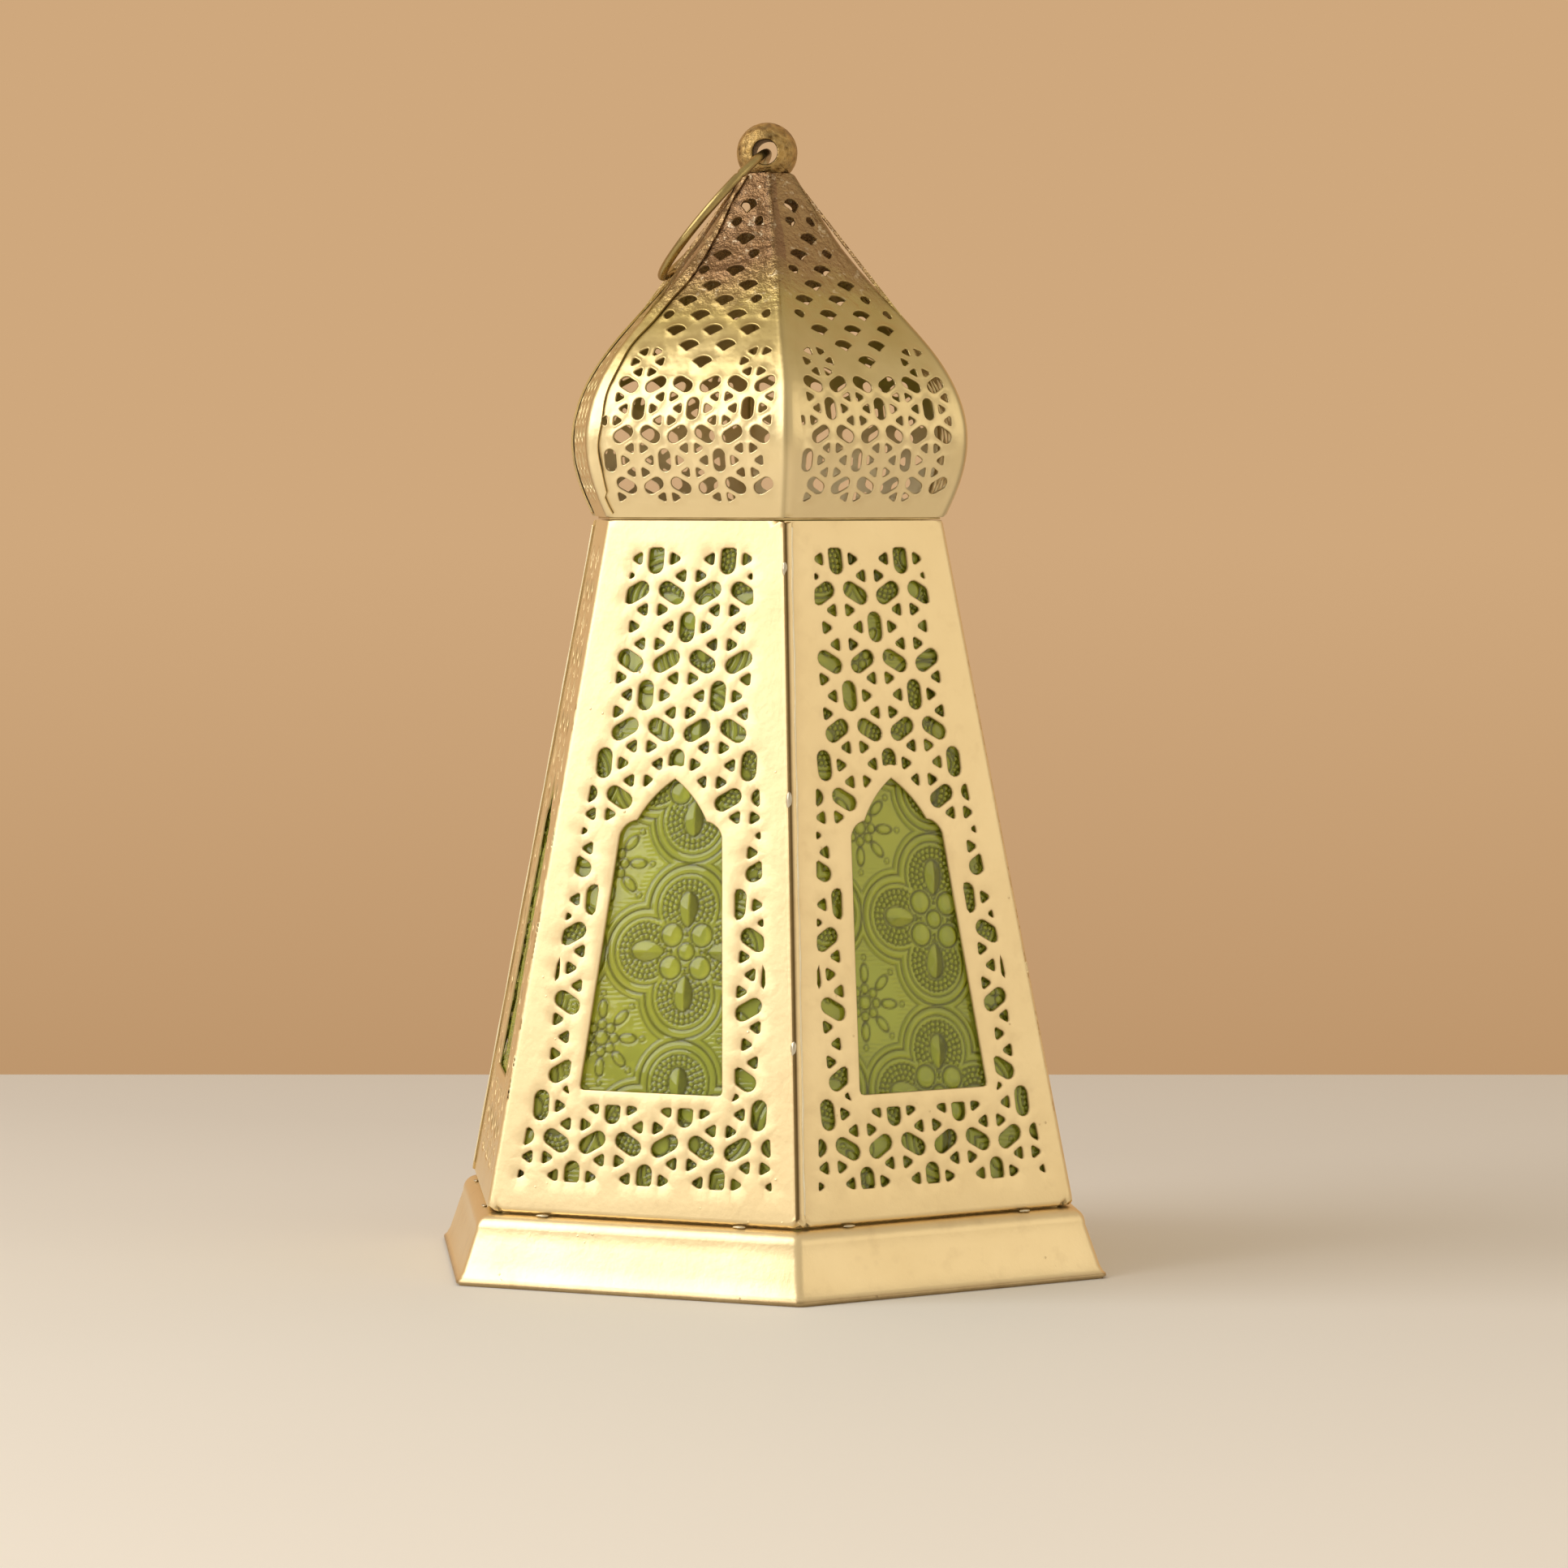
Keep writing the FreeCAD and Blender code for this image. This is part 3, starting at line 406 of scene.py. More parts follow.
def pressed_glass(name):
    """Green pressed glass with faint streaks, painted shade along its pattern's lines standing in for
    light bent by the relief, and slightly orange-peel.
    """
    nodes = Nodes(name)
    streak = nodes.noise(30, 3, 0.5, stretch=(1, 1, 0.35))
    streaks = nodes.ramp(streak, (0.35, 0.0), (0.7, 1.0))
    colour = nodes.mix(streaks, (0.82, 0.88, 0.13), (0.74, 0.85, 0.13))
    # Painted shade: dark lines along the relief, standing in for light bent by it.
    groove_and_shade = nodes.times(nodes.attribute("edge"), 0.9)
    colour = nodes.mix(groove_and_shade, colour, (0.07, 0.06, 0.006))
    nodes.set(Base_Color=colour, Transmission_Weight=0.66, Roughness=0.04, IOR=1.5)
    nodes.bump(nodes.noise(140, 2, 0.5), 0.0003, 0.15)
    return nodes.material


def floor_paint_and_shade(name):
    """The pale painted table top, darkened away from the viewer by painted shade."""
    nodes = Nodes(name)
    cloud = nodes.noise(3, 3, 0.5)
    place = nodes.tree.nodes.new("ShaderNodeSeparateXYZ")
    nodes.tree.links.new(nodes.coords, place.inputs[0])
    away = nodes.times(place.outputs["Y"], 0.8)
    away = nodes.plus(away, nodes.times(cloud, 0.1))
    away = nodes.plus(away, 0.55)
    # Painted shade: the table's colour darkens away from the viewer.
    paint_and_shade = nodes.ramp(away, (0.25, (0.97, 0.96, 0.92)), (0.8, (0.76, 0.75, 0.725)))
    nodes.set(Base_Color=paint_and_shade, Roughness=0.65)
    nodes.bump(nodes.noise(600, 2, 0.5), 0.0001, 0.15)
    return nodes.material


BODY_BRASS = lacquered_brass(
    "body_brass", (0.92, 0.745, 0.43), (0.89, 0.705, 0.39), (0.40, 0.24, 0.09)
)
BASE_BRASS = lacquered_brass(
    "base_brass", (0.93, 0.76, 0.45), (0.88, 0.70, 0.39), (0.36, 0.22, 0.09), 0.34, 0.4, 1.3
)
BURNT = {"front": (0.31, 0.18, 0.085), "front_right": (0.42, 0.27, 0.12)}
PETAL_BRASS = {key: petal_brass("petal_brass_" + key, value) for key, value in BURNT.items()}
GOLD = antique_gold("antique_gold")
WIRE = plain_metal("ring_wire", (0.52, 0.40, 0.16), (0.25, 0.18, 0.07), 0.28)
SOLDER = plain_metal("solder_grey", (0.78, 0.72, 0.58), (0.45, 0.38, 0.26), 0.38, depth=0.0003)
# The laps' cut edges: a pale, nearly white metal, partly the edge's own bare colour and partly painted
# highlight along it.
CUT_EDGE = plain_metal("cut_edge", (0.98, 0.90, 0.68), (0.90, 0.76, 0.48), 0.42)
STEEL = plain_metal("plated_steel", (0.72, 0.66, 0.52), (0.46, 0.38, 0.24), 0.32)
AGED = plain_metal("aged_brass", (0.20, 0.15, 0.06), (0.10, 0.07, 0.03), 0.45)
INNER = plain_metal("plain_brass", (0.66, 0.50, 0.24), (0.36, 0.25, 0.10), 0.34)
GLASS = pressed_glass("pressed_glass")


# ---------------------------------------------------------------- sheets bent round six sides


class Panel:
    """One of six sides, whose middle line is a profile of distances from the axis and heights. A point
    on it has a place across, a place along the profile and a depth, and what lies past the side's
    corners is bent round them."""

    def __init__(self, profile, start=0.0):
        """start is the place of the profile's first point."""
        self.profile = np.asarray(profile, dtype=float)
        steps = np.linalg.norm(np.diff(self.profile, axis=0), axis=1)
        self.lengths = start + np.concatenate([[0], np.cumsum(steps)])
        tangent = np.gradient(self.profile, self.lengths, axis=0)
        self.tangent = tangent / np.linalg.norm(tangent, axis=1)[:, None]
        self.low = self.lengths[0]
        self.high = self.lengths[-1]

    def at(self, up):
        radius = np.interp(up, self.lengths, self.profile[:, 0])
        level = np.interp(up, self.lengths, self.profile[:, 1])
        run = np.interp(up, self.lengths, self.tangent[:, 0])
        rise = np.interp(up, self.lengths, self.tangent[:, 1])
        size = np.hypot(run, rise)
        return radius, level, run / size, rise / size

    def half(self, up):
        return np.interp(up, self.lengths, self.profile[:, 0]) * TAN

    def place(self, points, depth, right, left):
        """right and left are (radius, full, lift): full bends a strip onto the next side, lifted
        clear of it."""
        across, up = np.asarray(points, dtype=float).T
        depth = np.broadcast_to(depth, across.shape)
        radius, level, run, rise = self.at(up)
        slope = run * TAN
        lean = -np.arctan(slope)
        cos_lean, sin_lean = np.cos(lean), np.sin(lean)
        bend = np.arccos(np.clip(rise**2 * math.cos(2 * CORNER) + run**2, -1, 1))
        side = np.where(across >= 0, 1.0, -1.0)
        half = radius * TAN
        away = (np.abs(across) - half) * cos_lean
        curve = np.where(side > 0, right[0], left[0])
        full = np.where(side > 0, float(right[1]), float(left[1]))
        lift = np.where(side > 0, right[2], left[2])
        reach = curve * np.tan(bend / 2)
        past = away + reach
        half_turn = np.clip(past / reach, 0, 1) * bend / 2
        full_turn = np.clip(past / curve, 0, bend)
        turn = np.where(full > 0, full_turn, half_turn)
        beyond = np.where(full > 0, np.maximum(past - curve * bend, 0), 0)
        raised = depth + np.where(full > 0, lift * turn / bend, 0)
        curved = past > 0
        x = np.where(curved, -reach + (curve + raised) * np.sin(turn) + beyond * np.cos(bend), away)
        z = np.where(curved, -curve + (curve + raised) * np.cos(turn) - beyond * np.sin(bend), depth)
        zero = np.zeros_like(across)
        centre = np.stack([zero, -radius, level], 1)
        along = np.stack([zero, -run, rise], 1)
        normal = np.stack([zero, -rise, -run], 1)
        cross = np.stack([np.ones_like(across), zero, zero], 1)
        out = (side * cos_lean)[:, None] * cross + sin_lean[:, None] * along
        ridge = (-side * sin_lean)[:, None] * cross + cos_lean[:, None] * along
        slip = -away * np.tan(lean)
        place = centre + (side * half)[:, None] * cross
        return place + x[:, None] * out + z[:, None] * normal + slip[:, None] * ridge


def spline(points, count):
    """A smooth curve through points, with no bend at its ends."""
    points = np.asarray(points, dtype=float)
    knots = np.concatenate([[0], np.cumsum(np.linalg.norm(np.diff(points, axis=0), axis=1))])
    size = len(points)
    steps = np.diff(knots)
    system = np.eye(size)
    right = np.zeros_like(points)
    for index in range(1, size - 1):
        system[index, index - 1] = steps[index - 1]
        system[index, index] = 2 * (steps[index - 1] + steps[index])
        system[index, index + 1] = steps[index]
        after = (points[index + 1] - points[index]) / steps[index]
        before = (points[index] - points[index - 1]) / steps[index - 1]
        right[index] = 6 * (after - before)
    second = np.linalg.solve(system, right)
    places = np.linspace(0, knots[-1], count)
    spans = np.clip(np.searchsorted(knots, places, side="right") - 1, 0, size - 2)
    step = steps[spans][:, None]
    a = (knots[spans + 1] - places)[:, None]
    b = (places - knots[spans])[:, None]
    bent = (second[spans] * a**3 + second[spans + 1] * b**3) / (6 * step)
    start = (points[spans] / step - second[spans] * step / 6) * a
    end = (points[spans + 1] / step - second[spans + 1] * step / 6) * b
    return bent + start + end


def body_profile():
    """The side's slope, with its lower edge rolled in to a narrow lip."""
    roll = 1.2
    lean = math.asin((BODY_FOOT - BODY_HEAD) / SLANT)
    inside = PI / 2 - lean
    touch = roll / math.tan(inside / 2)
    sweep = PI - inside
    middle = (BODY_FOOT - touch, BODY_LOW + roll)
    lip = 1.8
    points = [(middle[0] - lip, BODY_LOW), (middle[0] - lip / 2, BODY_LOW)]
    for index in range(9):
        angle = -PI / 2 + sweep * index / 8
        points.append((middle[0] + roll * math.cos(angle), middle[1] + roll * math.sin(angle)))
    climb = (-(BODY_FOOT - BODY_HEAD) / SLANT, (BODY_TOP - BODY_LOW) / SLANT)
    for length in np.linspace(touch + 1.0, SLANT, 80):
        points.append((BODY_FOOT + climb[0] * length, BODY_LOW + climb[1] * length))
    return points, touch - roll * sweep - lip


BODY = Panel(*body_profile())
DOME = Panel(spline(DOME_PROFILE, 160))


# ---------------------------------------------------------------- hole patterns


def slot_field(width, length):
    half = (length - width) / 2

    def field(x, y):
        return np.hypot(x, y - np.clip(y, -half, half)) - width / 2

    return field


def triangle_field(side, corner):
    """A round-cornered triangle with one corner towards +X."""
    reach = side / math.sqrt(3) - 2 * corner
    angles = np.radians([0, 120, 240])
    core = np.stack([reach * np.cos(angles), reach * np.sin(angles)], 1)

    def field(x, y):
        return segments_distance(x, y, core) - corner

    return field


def circle_through(a, b, c):
    matrix = 2 * np.array([[b[0] - a[0], b[1] - a[1]], [c[0] - a[0], c[1] - a[1]]])
    sums = np.array([p[0] ** 2 + p[1] ** 2 - a[0] ** 2 - a[1] ** 2 for p in (b, c)])
    centre = np.linalg.solve(matrix, sums)
    return centre, math.hypot(*(centre - np.array(a)))


def scale_field(width, height):
    """A fish scale: a round cap over two hollow flanks that meet in a point."""
    half = width / 2
    top, top_radius = circle_through((half, 0), (0, 0.45 * height), (-half, 0))
    side, side_radius = circle_through((half, 0), (0.42 * half, -0.231 * height), (0, -0.55 * height))

    def field(x, y):
        cap = np.hypot(x - top[0], y - top[1]) - top_radius
        hollow = side_radius - np.hypot(np.abs(x) - side[0], y - side[1])
        return smooth_max(cap, hollow, 0.35)

    return field


def segments_distance(x, y, outline):
    """Distance to a closed outline, below zero inside it."""
    a = outline
    b = np.roll(outline, -1, axis=0)
    best = np.full(x.shape, FAR)
    inside = np.zeros(x.shape, dtype=bool)
    for (ax, ay), (bx, by) in zip(a, b):
        ex, ey = bx - ax, by - ay
        share = np.clip(((x - ax) * ex + (y - ay) * ey) / (ex * ex + ey * ey), 0, 1)
        best = np.minimum(best, np.hypot(x - ax - ex * share, y - ay - ey * share))
        if ay != by:
            crosses = (ay > y) != (by > y)
            inside ^= crosses & (x < ax + (y - ay) * ex / ey)
    return np.where(inside, -best, best)


def hole_outlines(cells, clip, soft=0.5, least=0.8, count=26):
    """Rounded outlines of holes, each cut short where the clip field is above zero, and left out where
    less than least remains. A cell is a field, x, y and turn."""
    search, longest, halvings = 4.2, 7.0, 14
    outlines = []
    angles = np.linspace(0, 2 * PI, count, endpoint=False)
    rays = np.stack([np.cos(angles), np.sin(angles)])
    probe = np.linspace(-search, search, 29)
    px, py = (grid.ravel() for grid in np.meshgrid(probe, probe))
    for field, x, y, turn in cells:
        cos, sin = math.cos(turn), math.sin(turn)

        def value(ax, ay):
            dx, dy = ax - x, ay - y
            return smooth_max(field(dx * cos + dy * sin, dy * cos - dx * sin), clip(ax, ay), soft)

        inner = value(px + x, py + y) < 0
        if not inner.any() or min(np.ptp(px[inner]), np.ptp(py[inner])) < least:
            continue
        middle_x, middle_y = x + px[inner].mean(), y + py[inner].mean()
        low, high = np.zeros(count), np.full(count, longest)
        for _ in range(halvings):
            middle = (low + high) / 2
            outside = value(middle_x + middle * rays[0], middle_y + middle * rays[1]) > 0
            high = np.where(outside, middle, high)
            low = np.where(outside, low, middle)
        outlines.append(np.stack([middle_x + low * rays[0], middle_y + low * rays[1]], 1))
    return outlines


def lattice(pitch, rows, columns, first, reach, triangle, slot):
    """Stars of six triangles on a triangular lattice, with a slot between each two neighbours."""
    for row in rows:
        for column in columns:
            across = pitch * (column + (row % 2) / 2)
            up = first + row * pitch * math.sqrt(3) / 2
            for spoke in range(6):
                angle = spoke * PI / 3
                x, y = across + reach * math.cos(angle), up + reach * math.sin(angle)
                yield triangle, x, y, angle + PI
            for bond in range(3):
                angle = bond * PI / 3
                x, y = across + pitch / 2 * math.cos(angle), up + pitch / 2 * math.sin(angle)
                yield slot, x, y, angle


def arc_points(a, b, c, count):
    """Points from a to just before c, on the arc that also passes through b."""
    centre, radius = circle_through(a, b, c)
    start = math.atan2(a[1] - centre[1], a[0] - centre[0])
    sweep = (math.atan2(c[1] - centre[1], c[0] - centre[0]) - start + PI) % (2 * PI) - PI
    angles = start + sweep * np.linspace(0, 1, count, endpoint=False)
    return [(centre[0] + radius * math.cos(a), centre[1] + radius * math.sin(a)) for a in angles]


def window_outline(step=1.6):
    """The pointed arch on two small shoulders, anticlockwise, with rounded lower corners."""
    sill, shoulder, cusp, apex = (18.8, 30.4), (13.5, 91.9), (9.2, 95.5), (0.0, 105.6)
    lobe = ((shoulder[0] + cusp[0]) / 2 + 0.6, (shoulder[1] + cusp[1]) / 2 + 0.6)
    sweep = (cusp[0] / 2 + 0.6, (cusp[1] + apex[1]) / 2 + 0.6)
    corner = ((1.1, 0.0), (0.35, 0.25), (0.1, 1.0))
    right = [(sill[0] - inward, sill[1] + rise) for inward, rise in corner]
    run = int(60 / step)
    low, high = np.array((sill[0] - 0.2, sill[1] + 2.2)), np.array(shoulder)
    right += [tuple(low + (high - low) * index / run) for index in range(run)]
    right += arc_points(shoulder, lobe, cusp, 6)
    right += arc_points(cusp, sweep, apex, 10)
    left = [(-x, y) for x, y in right[::-1]]
    bottom = [(x, sill[1]) for x in np.linspace(-(sill[0] - 2.5), sill[0] - 2.5, 20)]
    return np.array(right + [apex] + left + bottom)


def body_holes():
    """The outlines of a body side's holes, and its window's."""
    half_foot, taper, lowest, highest, frame_width = 34.55, 0.1184, 8.3, SLANT - 6.6, 3.4
    star_reach, soft = 4.8, 0.3
    window = window_outline()
    shallow = window[np.arange(0, len(window), 2)]

    def clip(x, y):
        edge = smooth_max(np.abs(x) - (half_foot - taper * y), y - highest, soft)
        edge = smooth_max(edge, lowest - y, soft)
        return smooth_max(edge, frame_width - segments_distance(x, y, shallow), soft)

    slot = slot_field(3.9, 7.3)
    triangle = triangle_field(3.6, 0.5)
    first = TOP_ROW - 10 * LATTICE_PITCH * math.sqrt(3) / 2
    cells = lattice(LATTICE_PITCH, range(12), range(-3, 3), first, star_reach, triangle, slot)
    return hole_outlines(cells, clip), window


def dome_holes():
    """The outlines of a petal's holes: stars and slots below, scales above, and one at the tip."""
    pitch, shift = 14.5, 1.5
    scale_rows, scale_rise, scale_step = (39.6, 83.4), 4.85, 4.9
    slot = slot_field(3.1, 5.5)
    triangle = triangle_field(2.9, 0.42)
    scale = scale_field(5.3, 3.6)
    half_scale = scale_field(2.65, 3.6)
    cells = []

    def room(up):
        return float(DOME.half(up)) - 3.4

    stars = lattice(pitch, range(-1, 3), range(-3, 3), pitch, 0.235 * pitch, triangle, slot)
    for field, x, up, turn in stars:
        reach = 1.5 if field is slot else 0.9
        across = x + shift
        highest = 35.2 + 0.95 * abs(x) - 1.9 * reach
        if 4.6 <= up <= highest and abs(across) + reach <= room(up) + 0.4:
            cells.append((field, across, up + (0.4 if up < 6 else 0), turn))
    row = 0
    up = scale_rows[0]
    while up < scale_rows[1]:
        limit = room(up) + 1.2
        for column in range(-row, row + 1, 2):
            across = shift + column * scale_step
            away = abs(across)
            if away + 2.6 <= limit:
                cells.append((scale, across, up, 0.0))
            elif away - 1.04 <= limit:
                cells.append((half_scale, math.copysign(min(away, limit) - 1.3, across), up, 0.0))
        row += 1
        up += scale_rise
    cells.append((scale_field(4.2, 4.6), 0.0, 88.0, 0.0))

    def clip(x, y):
        return np.abs(x) - (DOME.half(y) - 2.6)

    return hole_outlines(cells, clip, 0.4)


# ---------------------------------------------------------------- pierced sheets


def swollen(loop, amount):
    """A closed anticlockwise outline moved outward by an amount."""
    before = loop - np.roll(loop, 1, axis=0)
    after = np.roll(loop, -1, axis=0) - loop
    normals = []
    for edge in (before, after):
        normal = np.stack([edge[:, 1], -edge[:, 0]], 1)
        normals.append(normal / np.linalg.norm(normal, axis=1)[:, None])
    middle = normals[0] + normals[1]
    middle /= np.linalg.norm(middle, axis=1)[:, None]
    spread = np.maximum((middle * normals[0]).sum(1), 0.6)
    return loop + middle * (amount / spread)[:, None]


def filled(loops, spacing, clear, bends):
    """Triangles between an outer outline, the first loop, and the holes. Between them lie a hexagonal
    grid of points and the rows of points that the bends need."""
    outer = loops[0]
    low, high = outer.min(0), outer.max(0)
    grid = []
    row = 0
    y = low[1] + spacing / 2
    while y < high[1]:
        xs = np.arange(low[0] + (row % 2) * spacing / 2, high[0], spacing)
        grid.append(np.stack([xs, np.full_like(xs, y)], 1))
        y += spacing * 0.87
        row += 1
    grid = np.vstack(grid)
    grid = grid[segments_distance(grid[:, 0], grid[:, 1], outer) < -spacing * 0.45]
    grid = np.vstack([grid[nearest(grid, bends) > spacing * 0.5], bends])
    grid = grid[nearest(grid, np.vstack(loops[1:])) > clear]
    for hole in loops[1:]:
        reach = np.abs(grid - hole.mean(0)).max(1) < np.abs(hole - hole.mean(0)).max() + 1
        if reach.any():
            inside = np.zeros(len(grid), dtype=bool)
            inside[reach] = segments_distance(grid[reach, 0], grid[reach, 1], hole) < 0
            grid = grid[~inside]
    points = np.vstack(loops + [grid])
    owner = [np.full(len(loop), index) for index, loop in enumerate(loops)]
    owner = np.concatenate(owner + [np.full(len(grid), -1)])
    edges = []
    start = 0
    for loop in loops:
        count = len(loop)
        edges += [(start + index, start + (index + 1) % count) for index in range(count)]
        start += count
    result = delaunay_2d_cdt([Vector(point) for point in points], edges, [], 1, 1e-5, True)
    source = [ids[0] if ids else -1 for ids in result[3]]
    triangles = [tuple(source[corner] for corner in face) for face in result[2]]
    triangles = np.array([face for face in triangles if min(face) >= 0])
    owners = owner[triangles]
    same = (owners[:, 0] == owners[:, 1]) & (owners[:, 1] == owners[:, 2]) & (owners[:, 0] >= 0)
    keep = np.ones(len(triangles), dtype=bool)
    middles = points[triangles].mean(1)
    for index, loop in enumerate(loops):
        chosen = np.where(same & (owners[:, 0] == index))[0]
        if len(chosen):
            inside = segments_distance(middles[chosen, 0], middles[chosen, 1], loop) < 0
            keep[chosen] = inside if index == 0 else ~inside
    return points, triangles[keep]


# A hole's rolled-in edge: how far each ring lies outside the hole, and how deep.
RIM = [(0.36, 0.0), (0.18, 0.04), (0.05, 0.15), (0.0, 0.3)]
RAISED_RIM = [(0.5, 0.0), (0.3, -0.07), (0.12, -0.02), (0.0, 0.16)]


def pierced_sheet(
    shell, outline, holes, place, thick, bends, stain_and_shade, spacing=3.2, rim=RIM, joined=None
):
    """Adds a sheet with rolled-in hole edges to a shell. place turns flat points and depths into space,
    the shade function gives each front point's painted shade in the sheet's creases and beside its
    laps, and the outline has no wall between points that joined picks."""
    loops = [outline] + [swollen(hole, rim[0][0]) for hole in holes]
    points, triangles = filled(loops, spacing, spacing * 0.42, bends)
    front = shell.add(place(points, 0.0), stain_and_shade(points))
    shell.faces += (triangles + front).tolist()
    behind = points.copy()
    start = len(outline)
    for hole in holes:
        behind[start : start + len(hole)] = hole
        start += len(hole)
    # The back gets 0.4 on the edge attribute and comes out darker.
    back = shell.add(place(behind, -thick), 0.4)
    shell.faces += (triangles[:, ::-1] + back).tolist()
    open_edge = joined(outline) if joined else np.zeros(len(outline), dtype=bool)
    for index in range(len(outline)):
        after = (index + 1) % len(outline)
        if not (open_edge[index] and open_edge[after]):
            shell.faces.append((front + index, back + index, back + after, front + after))
    start = len(outline)
    for hole in holes:
        count = len(hole)
        last = [front + start + index for index in range(count)]
        for wide, deep in rim[1:]:
            # Painted shade in the holes: the deeper rings of each hole's wall get 0.6 on the edge
            # attribute, the shallow ones 0.1.
            following = shell.row(place(swollen(hole, wide), -deep), 0.6 if deep > 0.1 else 0.1)
            shell.bridge(last, following)
            last = following
        shell.bridge(last, [back + start + index for index in range(count)])
        start += count


def sheet_outline(low, high, right, left, step, across_foot, across_head):
    """An anticlockwise outline between two levels. right and left give its edges at a level, and the
    last two say how many points lie across its foot and its head."""
    levels = np.linspace(low, high, max(int((high - low) / step), 2))
    right = [(right(level), level) for level in levels]
    left = [(left(level), level) for level in levels]
    foot = [(x, low) for x in np.linspace(left[0][0], right[0][0], across_foot)[1:-1]]
    head = [(x, high) for x in np.linspace(right[-1][0], left[-1][0], across_head)[1:-1]]
    return np.array(foot + right + head + left[::-1])


# Bends as (radius, full, lift), and how far a side reaches past its corners.
FOLD = (0.8, True, 0.55)
SOFT_BEND = (2.2, False, 0.0)
PLAIN = (0.05, False, 0.0)
LAP = 1.7
LAP_REACH = 1.8
UNDER = -0.25
SHORT = -0.4


def body_outline(right_past, left_past, wavy_seed=None):
    """The outline of one body side. A past above zero reaches round the corner, and below zero stops
    short."""
    source = np.random.default_rng(wavy_seed or 1)
    phases = source.uniform(0, 2 * PI, 4)

    def wave(up):
        if wavy_seed is None:
            return 0.0
        return 0.06 * math.sin(up / 5.3 + phases[0]) + 0.04 * math.sin(up / 2.1 + phases[1])

    def notch(up):
        return -2.6 if up < 0.4 else 0.0

    def right_edge(up):
        return float(BODY.half(up)) + right_past + wave(up) * (right_past > 0) + notch(up)

    def left_edge(up):
        return -float(BODY.half(up)) - left_past - notch(up)

    return sheet_outline(BODY.low, SLANT, right_edge, left_edge, 1.3, 24, 16)


def bend_rows(panel, radius, full_sides, half_sides, levels, past):
    """Rows of points along a side's bent edges: a full bend goes on past the corner, a half bend stops
    at it. radius and past give the bend's radius and the width past the corner at a level."""
    points = []
    bend = PI / 3
    for up in levels:
        half = float(panel.half(up))
        curve = radius(up)
        reach = curve * math.tan(bend / 2)
        for side in full_sides:
            spots = [half - reach - 0.8]
            spots += [half - reach + curve * bend * share for share in np.linspace(0, 1, 7)]
            spots.append((spots[-1] + half + past(up)) / 2)
            points += [(side * spot, up) for spot in spots if spot < half + past(up) - 0.15]
        for side in half_sides:
            spots = [half - reach - 0.8]
            spots += [half - reach * (1 - share) for share in np.linspace(0, 0.8, 5)]
            points += [(side * spot, up) for spot in spots]
    return points


def foot_rows(step=2.4):
    """Rows of points across the body's rolled lower edge."""
    points = []
    for up in np.linspace(BODY.low, 1.6, 12)[1:]:
        half = float(BODY.half(up)) - 1.6
        points += [(across, up) for across in np.linspace(-half, half, int(2 * half / step))]
    return points


def body_side(shell, holes, window, azimuth, right, left, right_past, left_past, seed, wavy=None):
    """One side of the body. right and left are its edges' bends, and the pasts are how far it reaches
    past its corners."""

    def place(points, depth):
        swell = 0.10 * ripple(points[:, 0], points[:, 1], seed)
        calm = smooth_step(0, 6, points[:, 1]) * smooth_step(0, 6, SLANT - points[:, 1])
        calm = calm * smooth_step(0, 5, BODY.half(points[:, 1]) - np.abs(points[:, 0]))
        return turned(BODY.place(points, depth + swell * calm, right, left), azimuth)

    def joined(points):
        """The points on a corner that two sides of one sheet share."""
        half = BODY.half(points[:, 1])
        right_corner = (right == SOFT_BEND) & (points[:, 0] > half - 0.01) & (points[:, 1] > 0.4)
        left_corner = (left == SOFT_BEND) & (points[:, 0] < 0.01 - half) & (points[:, 1] > 0.4)
        return right_corner | left_corner

    def stain_and_shade(points):
        """Painted shade: the dark band in a fold's bend, or the painted shadow line beside the lap on
        the side's left edge.
        """
        if right != FOLD:
            beside = points[:, 0] + BODY.half(points[:, 1]) - LAP_REACH - 0.3
            return line_at(beside, 0.3) * (left_past == UNDER)
        past = points[:, 0] - BODY.half(points[:, 1])
        return line_at(past + 0.02, 0.6)

    outline = body_outline(right_past, left_past, wavy)
    levels = np.arange(2.4, SLANT - 0.6, 1.3)
    full_sides = [1] if right == FOLD else []
    half_sides = [side for side, edge in ((1, right), (-1, left)) if edge == SOFT_BEND]
    bends = bend_rows(BODY, lambda up: FOLD[0], full_sides, [], levels, lambda up: right_past)
    bends += bend_rows(BODY, lambda up: SOFT_BEND[0], [], half_sides, levels, lambda up: 0.0)
    if left_past == UNDER:
        gaps = (-0.3, 0.0, 0.2, 0.4, 0.7)
        bends += [(LAP_REACH + gap - float(BODY.half(up)), up) for up in levels for gap in gaps]
    bends += foot_rows()
    holes = holes + [window]
    pierced_sheet(shell, outline, holes, place, SHEET, np.array(bends), stain_and_shade, joined=joined)


def build_body():
    """The body's three sheets and the door's."""
    holes, window = body_holes()
    left = [(-60, SOFT_BEND, PLAIN, 0.0, UNDER, 11), (0, FOLD, SOFT_BEND, LAP, 0.0, 12, 3)]
    right = [(60, SOFT_BEND, PLAIN, 0.0, UNDER, 13), (120, PLAIN, SOFT_BEND, SHORT, 0.0, 14)]
    rear = [(240, FOLD, PLAIN, LAP, UNDER, 15, 5)]
    door = [(180, PLAIN, PLAIN, SHORT, SHORT, 16)]
    for name, sides, body, node in (
        ("body_left", left, "lantern", "body_sheet_left"),
        ("body_right", right, "lantern", "body_sheet_right"),
        ("body_rear", rear, "lantern", "body_sheet_rear"),
        ("door_sheet", door, "door", "door_panel"),
    ):
        shell = Shell()
        for side in sides:
            body_side(shell, holes, window, *side)
        sheet = shell.build(name, BODY_BRASS, sharp=50, weld=len(sides) > 1)
        install(sheet, body, "satin_brass", node)


def ridge_radius(up):
    """The bend at the dome's ridges, which tightens towards the tip."""
    return np.minimum(2.6, DOME.half(up) * 0.35)


